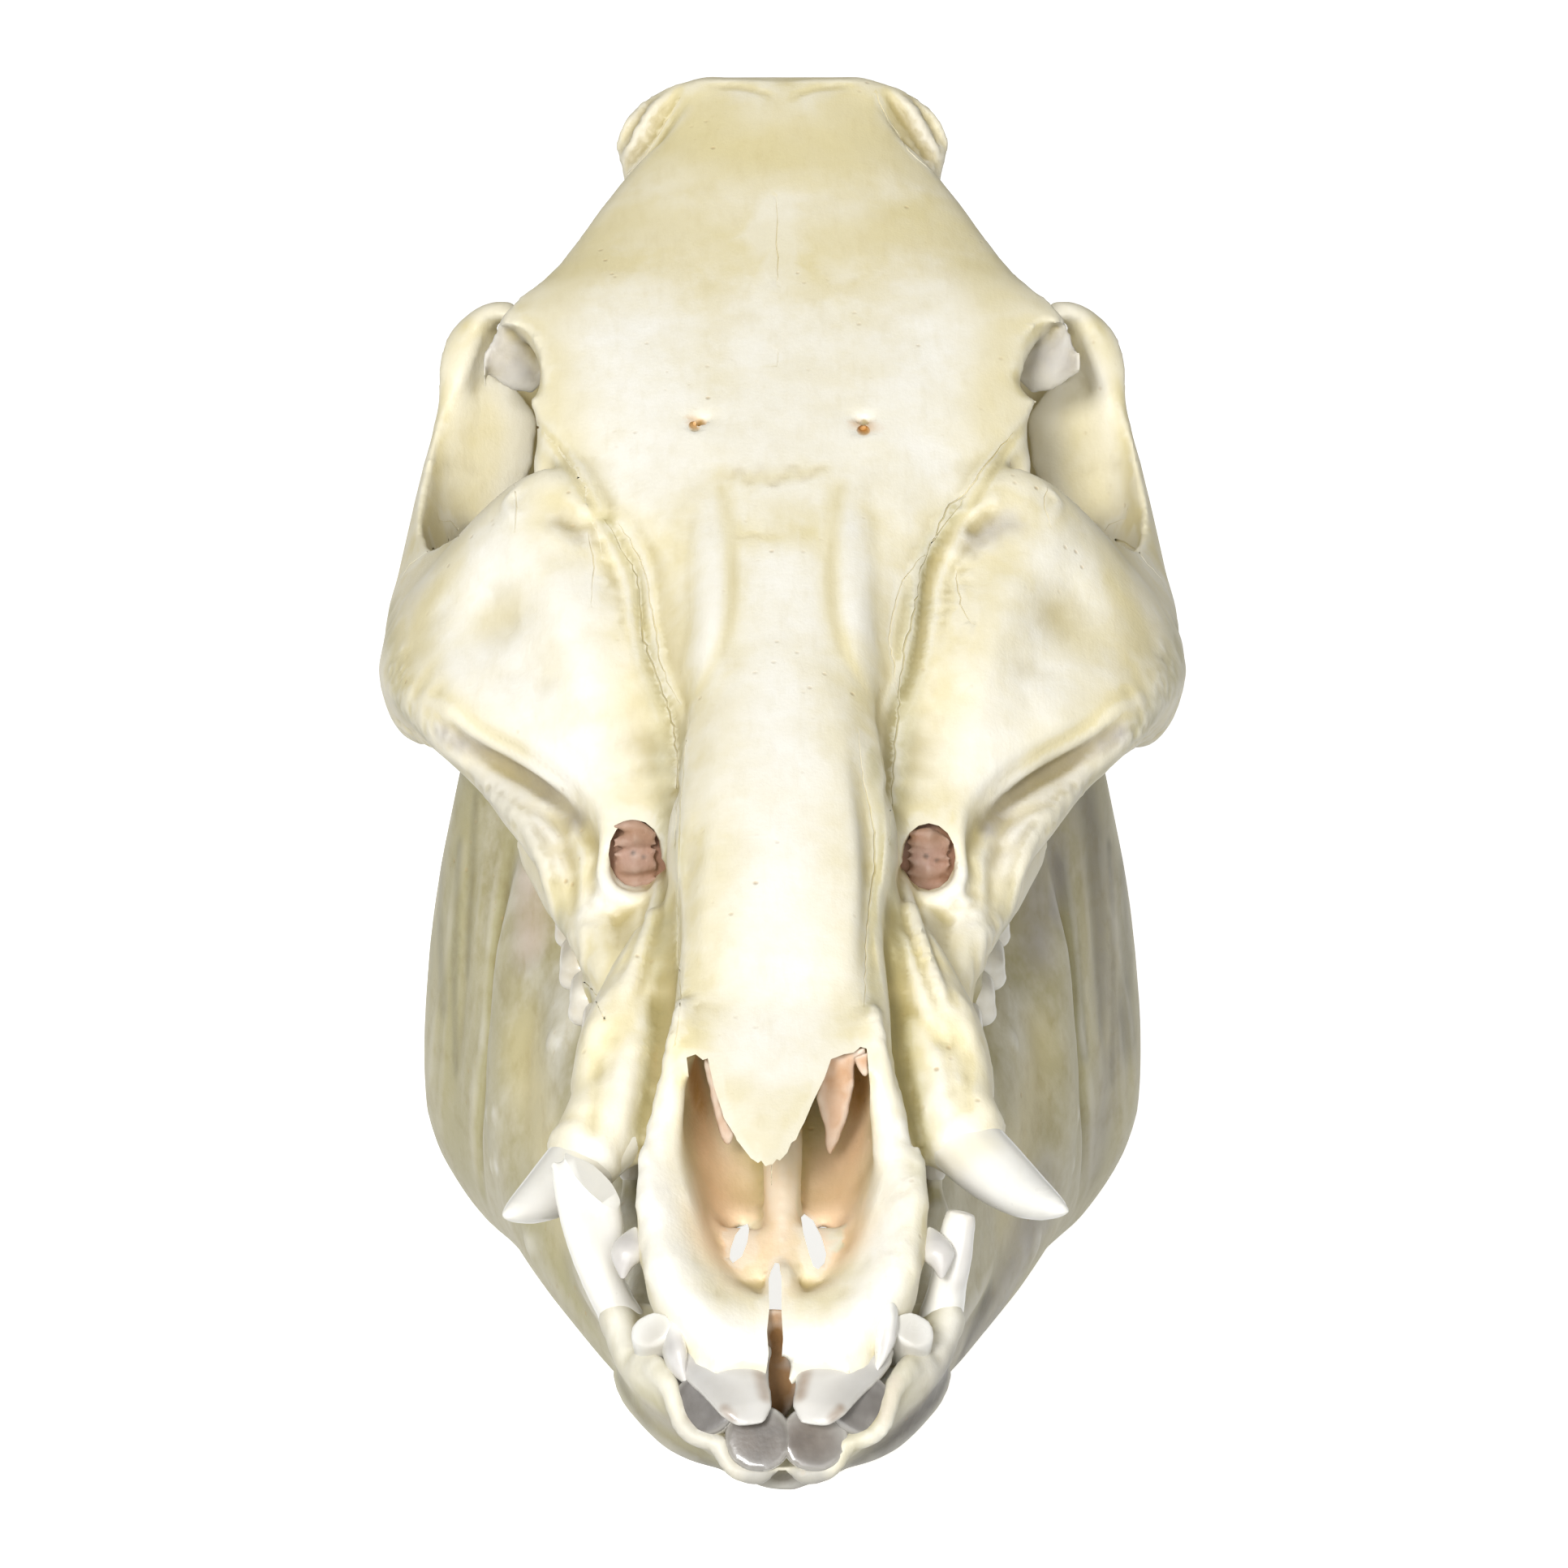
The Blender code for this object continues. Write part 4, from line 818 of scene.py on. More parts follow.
LEFT_JAW = [
    # the body in front of the plate, and the groove between them
    ([(650, 1070), (636, 1150), (628, 1230), (622, 1320), (622, 1400), (630, 1460)], 13, 2.2),
    ([(634, 1030), (622, 1100), (608, 1180), (601, 1267), (592, 1330), (588, 1400), (594, 1470)], 4.5, -2.2),
    ([(690, 1240), (680, 1320), (690, 1400)], 12, 1.2),
    ([(716, 1210), (726, 1300), (722, 1400), (740, 1500)], 8, -1.4),
    # bumps, and the edge of bone that runs to the front teeth
    ([(687, 1284)], 3.5, 0.9), ([(609, 1373)], 3, 0.7), ([(611, 1436)], 3.5, 0.8), ([(656, 1533)], 4, 0.8),
    ([(700, 1560), (736, 1610), (764, 1668), (800, 1712)], 5, 0.9),
    ([(680, 1540), (724, 1620), (770, 1690)], 6, -0.8),
    ([(754, 1600), (762, 1650), (784, 1690), (812, 1704)], 3, 0.7),
    ([(640, 1480), (668, 1540), (704, 1600)], 7, 0.9),
]
for column in (545, 556, 566, 575, 584, 593):
    sway = rng.uniform(-4, 4, 5)
    top, foot = rng.uniform(985, 1080), rng.uniform(1330, 1450)
    LEFT_JAW.append(([(column + 14 * (1 - k / 2) + sway[k], top + (foot - top) * k / 4) for k in range(5)],
                     rng.uniform(2.2, 3.4), rng.uniform(-0.8, 0.7)))
for _ in range(10):
    column, row = rng.uniform(700, 780), rng.uniform(1560, 1690)
    if row < 1500 + (column - 650) * 1.5:
        LEFT_JAW.append(([(column, row)], rng.uniform(1.6, 2.8), -0.6))
jaw.work(LEFT_JAW)
jaw.work(other_side(LEFT_JAW))
thinned(mandible, MANDIBLE_TRIANGLES)

JAW_STAINS_AND_SHADE = {
    WHITE: [
        ([(700, 1200), (690, 1290)], 8, 0.4), ([(1250, 1240), (1262, 1300)], 8, 0.4),
        ([(687, 1284)], 3, 0.9), ([(609, 1373)], 2.5, 0.9), ([(611, 1436)], 3, 0.9),
        ([(656, 1533)], 3.5, 0.8),
        ([(760, 1610), (768, 1660), (790, 1696), (830, 1730), (880, 1775)], 4, 0.7),
        ([(1178, 1610), (1165, 1660), (1130, 1716), (1090, 1768), (1050, 1800)], 4, 0.7),
    ],
    YELLOW: [
        ([(650, 1290), (670, 1400), (690, 1500)], 12, 0.9),
        ([(1278, 1290), (1260, 1400), (1240, 1500)], 12, 0.7),
    ],
    OLIVE: [
        # Painted shade, with some olive tint: the jaw's plates, the groove in front of them and the edge to
        # the front teeth.
        ([(575, 960), (560, 1060), (556, 1180), (556, 1300), (566, 1420)], 15, 1.0),
        ([(1350, 960), (1372, 1060), (1374, 1180), (1374, 1300), (1360, 1420)], 15, 1.0),
        ([(633, 1030), (610, 1180), (592, 1330), (596, 1470)], 4.5, 1.0),
        ([(1295, 1030), (1318, 1180), (1336, 1330), (1332, 1470)], 4.5, 1.0),
        ([(690, 1570), (726, 1640), (770, 1704), (820, 1752), (880, 1796)], 9, 1.0),
        ([(1238, 1570), (1202, 1640), (1160, 1704), (1110, 1756), (1050, 1800)], 9, 1.0),
        ([(640, 1480), (680, 1560), (716, 1620)], 12, 0.8),
        ([(170, 40), (230, 60), (260, 100)], 26, 0.6, "left"),
        ([(170, 40), (230, 60), (260, 100)], 26, 0.6, "right"),
    ],
    GREY_SHADE: [
        # Painted shade on the right plate, under the cranium's edge and under the lip of the front teeth.
        ([(1330, 980), (1360, 1060), (1366, 1180), (1370, 1300), (1350, 1420)], 13, 0.6),
        ([(1300, 1040), (1300, 1120)], 7, 0.9), ([(655, 1070), (650, 1170)], 8, 0.8),
        ([(1272, 1070), (1278, 1170)], 8, 0.8),
        ([(1290, 1480), (1250, 1560), (1210, 1640), (1150, 1720)], 12, 0.8),
        ([(1240, 1600), (1180, 1690), (1110, 1764)], 8, 0.8),
        ([(800, 1738), (860, 1780), (920, 1815)], 4, 0.7),
    ],
    PEACH: [
        ([(655, 1080), (655, 1160)], 7, 0.22),
    ],
    BROWN: [
        ([(848, 1724), (852, 1748)], 1.8, 0.5), ([(1104, 1700), (1086, 1750)], 1.8, 0.5),
    ],
    DARK_SHADE_AND_PITS: [
        # Painted shadow along the plates' outer edges, on the right side, under the lip and under the chin.
        ([(548, 1000), (542, 1120), (546, 1240)], 4, 0.35),
        ([(566, 1040), (560, 1180), (562, 1320)], 2.2, 0.4),
        ([(586, 980), (580, 1100), (576, 1200)], 2.0, 0.35),
        ([(1376, 980), (1388, 1120), (1388, 1280)], 9, 0.5),
        ([(1340, 980), (1352, 1100), (1356, 1260)], 5, 0.45),
        ([(1306, 1060), (1326, 1180), (1336, 1300)], 3, 0.4),
        ([(1366, 1040), (1372, 1180), (1370, 1330)], 2.2, 0.4),
        ([(1166, 1690), (1140, 1738), (1100, 1778), (1050, 1808)], 6, 1.2),
        ([(1215, 1600), (1195, 1650), (1176, 1690)], 5, 0.7),
        ([(764, 1700), (790, 1745), (830, 1782), (880, 1810)], 4.5, 0.6),
        ([(936, 1826), (964, 1829), (1000, 1825)], 4.5, 1.4),
        ([(-14, 6), (0, 4), (14, 6)], 9, 0.8, "below"),
        ([(-62, 40), (-50, 120), (-20, 30), (20, 30), (50, 120)], 26, 0.35, "below"),
    ],
}
stained_and_shaded(mandible, JAW_STAINS_AND_SHADE)

# Incisors: twelve enamel teeth, the upper ones thin blades that close on the worn, spoon-shaped
# faces of the lower ones. Each is a swept bar, worn off by a plane, melted smooth, stained and
# given painted shade.
TOOTH_GRAIN = 0.4
TOOTH_TRIANGLES = 14000
WEAR_BLOCK = 0.06


def worn_off(piece, place, facing):
    """Cuts a tooth off flat at this place, across the way that its worn face looks."""
    facing = Vector(facing).normalized()
    side = facing.orthogonal().normalized()
    turn = Matrix((side, facing.cross(side), facing)).transposed().to_4x4()
    block = bmesh.new()
    middle = Matrix.Translation(Vector(place) + facing * (WEAR_BLOCK / 2))
    bmesh.ops.create_cube(block, size=WEAR_BLOCK, matrix=middle @ turn)
    cut_out(piece, [piece_of(block, "wear")])


def incisor(name, side, route, shape, worn, stains):
    """One incisor on its side of the jaw, with its widths and flatness, its plane of wear and its stains and
    painted shade.
    """
    tooth = swept(name, route, *shape, sides=24)
    if worn:
        place, (x, y, z) = worn
        worn_off(tooth, *seen(*on_side(side, [place])), (-side * x, y, z))
    melt(tooth, TOOTH_GRAIN)
    Skin(tooth).ease(6, 12, 0.35)
    thinned(tooth, TOOTH_TRIANGLES)
    stained_and_shaded(tooth, {shade: [(on_side(side, places), width, strength) for places, width, strength in marks]
                    for shade, marks in stains.items()})
    return tooth


# Places in the picture are given for the animal's right side, and places in mm by how far they are from
# the middle. The second upper teeth differ, and the first lower right one stands nearer the middle.
SECOND_ROUTES = {
    -1: ((828, 1626, 16), (831, 1664, 8.5), (839, 1692, 4.6), (846, 1706, 3.4)),
    1: ((838, 1600, 16), (836, 1636, 9.5), (842, 1672, 5.6), (850, 1692, 4.4)),
}
FACE_PITS = ((914, 1772), (922, 1784), (929, 1770), (936, 1779), (921, 1793), (944, 1787), (909, 1783),
             (934, 1794))
FIRST_SHIFT = {-1: 1.3, 1: 0.0}
FIRST_DARKNESS = {-1: 1.1, 1: 1.0}
enamel_pieces = []
for side, name in ((-1, "right"), (1, "left")):
    # The upper blades' grey marks, and the dark marks along the bone's edge and the blades' sides, are
    # painted shade.
    upper_teeth = (
        (((890, 1640, 15), (890, 1676, 8.5), (905, 1708, 2.2), (920, 1738, -3.0), (929, 1766, -6.0)),
         ((16.5, 16.5, 13.2, 9.6, 7.0), 0.34), ((929, 1756, -5.4), (0.1, -0.45, -0.88)),
         {DARK_SHADE_AND_PITS: [([(850, 1690), (895, 1748)], 6, 0.35), ([(845, 1672), (890, 1684), (940, 1690)], 2.5, 0.3)],
          GREY_SHADE: [([(870, 1690), (925, 1742)], 18, 0.5)],
          BROWN: [([(902, 1747), (892, 1736)], 1.4, 0.8), ([(937, 1694), (943, 1720)], 2.0, 0.7)]}),
        (SECOND_ROUTES[side], ((7.5, 8, 6.8, 4.4), 0.5, (1, 0.4, 0)), None,
         {GREY_SHADE: [([(832, 1660), (842, 1690)], 5, 0.8)]}),
        (((784, 1512, 27), (774, 1538, 23.5), (768, 1560, 21), (768, 1578, 20)),
         ((4.4, 5.4, 5.6, 3.6), 0.85), None,
         {GREY_SHADE: [([(775, 1530), (768, 1572)], 5, 1.0)]}),
    )
    # The lower teeth's dark and grey marks darken their worn faces, with dark pits and brown middles.
    lower_teeth = (
        (((4.9, 14, 42), (4.95, 4, 47.0), (5.0, -4.6, 51.6), (5.1, -10, 54.6)),
         ((10, 10.6, 10.8, 10.8), 0.98), ((932, 1778, -3.6), (-0.05, -0.80, 0.60)),
         {DARK_SHADE_AND_PITS: [([(920, 1786), (948, 1790)], 16, FIRST_DARKNESS[side]),
                 *(([pit], 0.9, 1.4) for pit in FACE_PITS)],
          BROWN: [([(922, 1776), (944, 1778)], 6.0, 1.0)]}),
        (((10.2, 16, 45), (11.2, 7, 50.4), (12.4, -0.8, 55.8), (13.3, -6.4, 59.6)),
         ((8.6, 10.2, 10.8, 10.8), 0.94), ((872, 1730, 0.2), (-0.30, -0.80, 0.52)),
         {DARK_SHADE_AND_PITS: [([(852, 1734), (876, 1756)], 15, 1.05)], GREY_SHADE: [([(866, 1720), (886, 1745)], 12, 1.0)]}),
        (((19.2, 20, 50), (20.0, 14, 57), (20.6, 9.2, 64.2), (21.1, 5, 70)), ((6, 7, 7, 7), 0.8),
         ((808, 1640, 9.4), (-0.35, -0.7, 0.62)),
         {OLIVE: [([(812, 1640), (812, 1670)], 5, 0.5)], GREY_SHADE: [([(806, 1645), (812, 1665)], 5, 0.6)]}),
    )
    for number, (route, *rest) in enumerate(upper_teeth, 1):
        placed = seen(*on_side(side, route))
        enamel_pieces.append(incisor(f"incisor_upper_{number}_{name}", side, placed, *rest))
    for number, (route, *rest) in enumerate(lower_teeth, 1):
        shift = FIRST_SHIFT[side] if number == 1 else 0.0
        placed = [at(side * x + shift, y, z) for x, y, z in route]
        enamel_pieces.append(incisor(f"incisor_lower_{number}_{name}", side, placed, *rest))

# Tusks: four canines of smooth off-white enamel, the upper ones curving outward and back on the
# jaw, the lower ones rising in front of them. The animal's lower right one is broad and worn flat.
TUSK_GRAIN = 0.5
TUSK_TRIANGLES = 16000
# The grey marks are painted shade on the tusks' shaded sides, and the white mark on the lower left tusk's
# front face is painted light.
TUSKS = {
    "tusk_upper_left": {GREY_SHADE: [([(1170, 1440), (1240, 1500), (1300, 1505)], 5, 0.35)],
                        YELLOW: [([(1160, 1436), (1214, 1404)], 5, 0.4)]},
    "tusk_upper_right": {GREY_SHADE: [([(745, 1445), (700, 1475), (660, 1492)], 5, 0.3)],
                         YELLOW: [([(780, 1436), (716, 1424)], 5, 0.4)]},
    "tusk_lower_left": {BROWN: [([(1168, 1490), (1200, 1500)], 2.5, 0.3)],
                        GREY_SHADE: [([(1195, 1520), (1180, 1580)], 3.5, 0.7)],
                        WHITE: [([(1176, 1500), (1160, 1600)], 3, 0.8)]},
    "tusk_lower_right": {GREY_SHADE: [([(746, 1500), (768, 1600)], 4, 0.4)]},
}
for node, stains in TUSKS.items():
    broad = []
    if node == "tusk_lower_right":
        broad = [swept("tusk_breadth", seen((694, 1420, 36), (722, 1446, 34.6), (741, 1486, 32.6),
                                            (748, 1530, 30), (754, 1580, 27)), (3.5, 6.4, 6.6, 6.4, 5))]
    tusk = melt(bone_copy(node + "_enamel", node, broad), TUSK_GRAIN)
    if broad:
        worn_off(tusk, seen_at(719, 1448, 33), (0.53, -0.28, 0.80))
    Skin(tusk).ease(10, 25, 0.5)
    thinned(tusk, TUSK_TRIANGLES)
    stained_and_shaded(tusk, stains)
    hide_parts(node)
    enamel_pieces.append(tusk)

# Cheek teeth: seven on each side above and below, from narrow front ones to the long last molar,
# each crown a block of enamel with rounded cusps in two rows, melted together.
CHEEK_GRAIN = 0.5
CHEEK_TRIANGLES = 9000
# Each tooth's length, breadth and cusps to a row, and how far aside and how high the rows bite, in mm.
CHEEK_TEETH = ((8, 5, 1), (11, 6, 1), (12, 8, 1), (12, 11, 2), (14, 13, 2), (18, 15, 2), (25, 15, 3))
UPPER_ROW = ((78, 28.4), (130, 34.2), (185, 36))
LOWER_ROW = ((78, 26), (130, 31), (185, 34.5))
BITE = ((78, 66), (100, 69.5), (130, 74), (185, 83))
LEAN = Matrix.Rotation(radians(9), 4, "X")
cheek_pieces = []
for upper, side, name in ((True, -1, "upper_right"), (True, 1, "upper_left"),
                          (False, -1, "lower_right"), (False, 1, "lower_left")):
    back = 81.0 if upper else 78.0
    up = 1 if upper else -1
    for number, (long, wide, cusps) in enumerate(CHEEK_TEETH, 1):
        middle = back + long / 2
        back += long + 0.2
        across = side * float(np.interp(middle, *zip(*(UPPER_ROW if upper else LOWER_ROW))))
        bite = float(np.interp(middle, *zip(*BITE)))
        wide = wide + 0.9 if upper else wide * 0.8 + 0.9
        crown = bmesh.new()
        size = Matrix.Diagonal(((wide - 0.8) * MM, (long - 0.8) * MM, 6.4 * MM, 1))
        bmesh.ops.create_cube(crown, size=1.0,
                              matrix=Matrix.Translation(at(across, middle, bite + up * 5.6)) @ LEAN @ size)
        bmesh.ops.bevel(crown, geom=crown.edges, offset=min(wide, long) * 0.28 * MM, segments=3,
                        profile=0.5, affect="EDGES", material=-1)
        cusp = Matrix.Diagonal((wide * (0.42 if cusps == 1 else 0.25) * MM, long / cusps * 0.46 * MM,
                                2.7 * MM, 1))
        for aside in (0.0,) if cusps == 1 else (-0.24, 0.24):
            for k in range(cusps):
                along = (k + 0.5) / cusps - 0.5
                tip = at(across + aside * wide, middle + along * long * 0.86,
                         bite + up * 3.1 + along * long * 0.16)
                bmesh.ops.create_icosphere(crown, subdivisions=3, radius=1.0,
                                           matrix=Matrix.Translation(tip) @ cusp)
        tooth = melt(piece_of(crown, f"cheek_tooth_{name}_{number}"), CHEEK_GRAIN)
        Skin(tooth).ease(3, 6, 0.4)
        thinned(tooth, CHEEK_TRIANGLES)
        stained_and_shaded(tooth, {})
        cheek_pieces.append(tooth)

# Dried tissue: what is left of the soft parts. Folded pinkish plugs fill the openings under the
# orbits, thin flakes hang in the nose, and an ochre membrane spans the slit between the front teeth.
PLUG_GRAIN = 0.4
PLUG_TRIANGLES = 30000
FLAKE_GRAIN = 0.45
FLAKE_TRIANGLES = 9000
nerve_pieces = []
for name, column, row in (("right", 783, 1053), ("left", 1144, 1057)):
    folds = [swept("plug", seen((column, row, 119.2), (column, row, 131)), (17, 16), 1.25, (0, 0.3, 1))]
    for k in range(8):
        height = -28 + 8 * k + rng.uniform(-2, 2)
        bend, slope = rng.uniform(-8, 8), rng.uniform(-6, 6)
        route = [seen_at(column + 14 * m, row + height + bend * (1 - m * m / 4) + slope * m / 2,
                         118.4 + rng.uniform(-0.5, 0.5)) for m in (-2, -1, 0, 1, 2)]
        folds.append(swept("fold", route, (1.6, 3.0, 3.2, 2.8, 1.6)))
    plug = melt(joined("nerve_plug_" + name, folds), PLUG_GRAIN)
    Skin(plug).ease(3, 6, 0.3)
    thinned(plug, PLUG_TRIANGLES)
    # The grey mark is faint painted shade across the folds; the brown and dark marks darken the plug's upper
    # and lower edges and two small spots.
    stained_and_shaded(plug, {
        BROWN: [([(column - 22, row - 30), (column + 20, row - 28)], 4, 0.6),
                ([(column - 20, row + 24), (column + 18, row + 26)], 3, 0.4)],
        DARK_SHADE_AND_PITS: [([(column - 3, row - 2)], 0.8, 0.9), ([(column + 10, row + 3)], 0.7, 0.8)],
        GREY_SHADE: [([(column, row - 10), (column, row + 20)], 5, 0.25)],
    })
    nerve_pieces.append(plug)


def flake(name, outline, near, far, stains=None):
    """A thin scrap of dried tissue with this outline in the front picture, between two depths in mm."""
    made = melt(sight_block(name, outline, near, far), FLAKE_GRAIN)
    leaf = Skin(made)
    leaf.ease(3, 6, 0.5)
    bends = np.array([[0.25 * MM * noise.noise(Vector(place) * 400)] for place in leaf.co])
    leaf.co = leaf.co + leaf.normal * bends
    leaf.refresh()
    stained_and_shaded(thinned(made, FLAKE_TRIANGLES), stains or {})
    return made


tissue_pieces = [
    flake("nose_flake_right", [(866, 1300), (878, 1304), (884, 1340), (893, 1378), (904, 1396), (901, 1412),
                               (892, 1410), (884, 1388), (876, 1352), (870, 1325)], 50, 52.2),
    flake("nose_flake_left", [(1018, 1300), (1030, 1300), (1066, 1290), (1069, 1297), (1054, 1308),
                              (1052, 1340), (1043, 1380), (1030, 1412), (1024, 1424), (1018, 1420),
                              (1015, 1384), (1006, 1352)], 48, 50.4),
    flake("nose_shred_left", [(1050, 1302), (1060, 1300), (1070, 1296), (1070, 1324), (1064, 1328),
                              (1058, 1318)], 46.5, 48),
    flake("slit_membrane", [(941, 1613), (972, 1613), (975, 1684), (996, 1700), (980, 1726), (966, 1752),
                            (946, 1752), (936, 1728), (918, 1704), (938, 1684)], 12.5, 14.5,
          {BROWN: [([(956, 1630), (956, 1740)], 16, 1.0)], AMBER: [([(956, 1620), (956, 1740)], 14, 0.5)]}),
]


# Finishes: dry bone, the olive bone of the lower jaw, the enamel of front and cheek teeth, and two kinds
# of dried tissue. All share one group of nodes, which lays the stains and the painted light and shade
# over mottled ground, paints shade into the hollows, paints the ridges lighter and adds pits and grain.
class Web:
    """The nodes of a shader, set down and joined one after the other."""

    def __init__(self, tree):
        self.nodes, self.links = tree.nodes, tree.links

    def node(self, kind, **settings):
        """A new node of this kind with these settings."""
        made = self.nodes.new(kind)
        for name, value in settings.items():
            setattr(made, name, value)
        return made

    def put(self, socket, value):
        """Joins a socket to another one, or gives it a value of its own."""
        if isinstance(value, bpy.types.NodeSocket):
            self.links.new(value, socket)
        elif value is not None:
            socket.default_value = value

    def math(self, operation, *values, clamp=False):
        """The sum, product or other result of values or sockets."""
        made = self.node("ShaderNodeMath", operation=operation, use_clamp=clamp)
        for socket, value in zip(made.inputs, values):
            self.put(socket, value)
        return made.outputs[0]

    def mix(self, share, first, second, blend="MIX"):
        """The first colour with a share of the second one laid over it."""
        made = self.node("ShaderNodeMix", data_type="RGBA", blend_type=blend)
        self.put(made.inputs[0], share)
        self.put(made.inputs[6], first if isinstance(first, bpy.types.NodeSocket) else (*first, 1))
        self.put(made.inputs[7], second if isinstance(second, bpy.types.NodeSocket) else (*second, 1))
        return made.outputs[2]

    def span(self, value, low, high, new_low=0.0, new_high=1.0):
        """A value moved from one span of numbers to another, and held inside it."""
        made = self.node("ShaderNodeMapRange", clamp=True)
        for socket, given in zip(made.inputs, (value, low, high, new_low, new_high)):
            self.put(socket, given)
        return made.outputs[0]

    def noise(self, place, scale, detail=3.0, rough=0.55, stretch=None):
        """Smooth mottling that is finer the larger the scale, and drawn out where a stretch is given."""
        if stretch:
            turned = self.node("ShaderNodeMapping")
            self.put(turned.inputs["Vector"], place)
            turned.inputs["Scale"].default_value = stretch
            place = turned.outputs[0]
        made = self.node("ShaderNodeTexNoise")
        self.put(made.inputs["Vector"], place)
        made.inputs["Scale"].default_value = scale
        made.inputs["Detail"].default_value = detail
        made.inputs["Roughness"].default_value = rough
        return made.outputs[0]

    def layer(self, name):
        """The values that the mesh carries under this name."""
        return self.node("ShaderNodeAttribute", attribute_name=name).outputs["Fac"]


# Ground colours: ivory bone, bleached bone that also serves as painted light, and yellowed bone that also
# serves as painted shade.
IVORY, BLEACHED_AND_LIGHT_TONE, YELLOWED_AND_SHADE_TONE = (0.74, 0.68, 0.50), (0.82, 0.80, 0.735), (0.66, 0.575, 0.305)
# Each layer's colour, how much of the bone it covers at its fullest, and how far mottling breaks it up.
# The grey and dark colours are painted shade, the olive and yellowed ones partly painted shade, and the
# bleached and peach ones partly painted light.
SHADES = (
    (WHITE, BLEACHED_AND_LIGHT_TONE, 0.95, 0.25), (YELLOW, YELLOWED_AND_SHADE_TONE, 0.8, 0.3), (OLIVE, (0.37, 0.335, 0.165), 0.75, 0.45),
    (GREY_SHADE, (0.36, 0.335, 0.33), 0.8, 0.3), (PEACH, (0.86, 0.60, 0.38), 1.0, 0.2),
    (AMBER, (0.62, 0.33, 0.085), 1.0, 0.3), (BROWN, (0.22, 0.11, 0.035), 0.9, 0.5),
    (DARK_SHADE_AND_PITS, (0.056, 0.048, 0.040), 0.9, 0.2),
)


def group_sockets(name, inputs, outputs):
    """An empty node group with these named sockets, and its two ends."""
    group = bpy.data.node_groups.new(name, "ShaderNodeTree")
    for way, sockets in (("INPUT", inputs), ("OUTPUT", outputs)):
        for label, kind, value in sockets:
            socket = group.interface.new_socket(label, in_out=way, socket_type="NodeSocket" + kind)
            if value is not None:
                socket.default_value = (*value, 1) if kind == "Color" else value
    return group, Web(group), group.nodes.new("NodeGroupInput"), group.nodes.new("NodeGroupOutput")


weathering_and_shade, web, given, result = group_sockets(
    "weathered_and_shaded_surface",
    (("Ground", "Color", IVORY), ("Blotch", "Color", YELLOWED_AND_SHADE_TONE), ("Blotched", "Float", 0.7),
     ("Bleached", "Float", 0.35), ("Streaked", "Float", 0.22), ("Hollow shade", "Float", 0.95),
     ("Ridge bleach", "Float", 0.35), ("Pitted", "Float", 0.6), ("Grain height", "Float", 0.6),
     ("Roughest", "Float", 0.60)),
    (("Base Color", "Color", None), ("Roughness", "Float", None), ("Bump Height", "Float", None)))
place = web.node("ShaderNodeTexCoord").outputs["Object"]
mottle = web.noise(place, 38, 4, 0.6)
blotch = web.noise(place, 120, 3, 0.6)
grain = web.noise(place, 420, 3, 0.6, (1.0, 0.22, 0.5))
fine = web.noise(place, 1500, 2, 0.5)
share = web.math("MULTIPLY", web.span(mottle, 0.35, 0.65), given.outputs["Blotched"])
colour = web.mix(share, given.outputs["Ground"], given.outputs["Blotch"])
share = web.math("MULTIPLY", web.span(blotch, 0.42, 0.68), given.outputs["Bleached"])
colour = web.mix(share, colour, BLEACHED_AND_LIGHT_TONE)
# The layers' stains, painted shade and painted light, laid over the ground one after the other.
for layer, shade, most, speckle in SHADES:
    breaks = web.span(blotch, 0.3, 0.7, 1 - speckle, 1.0 + 0.3 * speckle)
    broken = web.math("MULTIPLY", web.layer(layer), breaks)
    colour = web.mix(web.math("MULTIPLY", broken, most, clamp=True), colour, shade)
streak = web.math("MULTIPLY", web.span(grain, 0.5, 0.75), given.outputs["Streaked"])
colour = web.mix(streak, colour, web.mix(1.0, colour, (0.80, 0.75, 0.60), "MULTIPLY"))
# Painted shade: the hollows are darkened towards a dull olive.
hollow = web.math("ADD", web.span(web.layer("broad_hollow"), 0.1, 1.0, 0, 0.55),
                  web.span(web.layer("fine_hollow"), 0.1, 1.0, 0, 0.45), clamp=True)
hollow = web.math("MULTIPLY", hollow, given.outputs["Hollow shade"])
colour = web.mix(hollow, colour, web.mix(1.0, colour, (0.60, 0.545, 0.36), "MULTIPLY"))
# Painted light: the fine ridges are lightened towards bleached bone, as edges that catch the light.
ridge = web.math("MULTIPLY", web.span(web.layer("fine_hollow"), -0.15, -0.9), given.outputs["Ridge bleach"])
colour = web.mix(ridge, colour, BLEACHED_AND_LIGHT_TONE)
pits = web.node("ShaderNodeTexVoronoi", feature="F1")
web.put(pits.inputs["Vector"], place)
pits.inputs["Scale"].default_value = 260
specks = web.math("MULTIPLY", web.span(pits.outputs["Distance"], 0.16, 0.05), web.span(mottle, 0.54, 0.68))
specks = web.math("MULTIPLY", specks, given.outputs["Pitted"])
colour = web.mix(specks, colour, (0.45, 0.30, 0.13))
coarse_height = web.math("MULTIPLY", grain, given.outputs["Grain height"])
height = web.math("ADD", coarse_height, web.math("MULTIPLY", fine, 0.25))
height = web.math("SUBTRACT", height, web.math("MULTIPLY", specks, 1.6))
rough = web.math("MULTIPLY", web.span(blotch, 0.3, 0.7, 0.7, 1.0), given.outputs["Roughest"])
for label, value in (("Base Color", colour), ("Roughness", rough), ("Bump Height", height)):
    web.put(result.inputs[label], value)


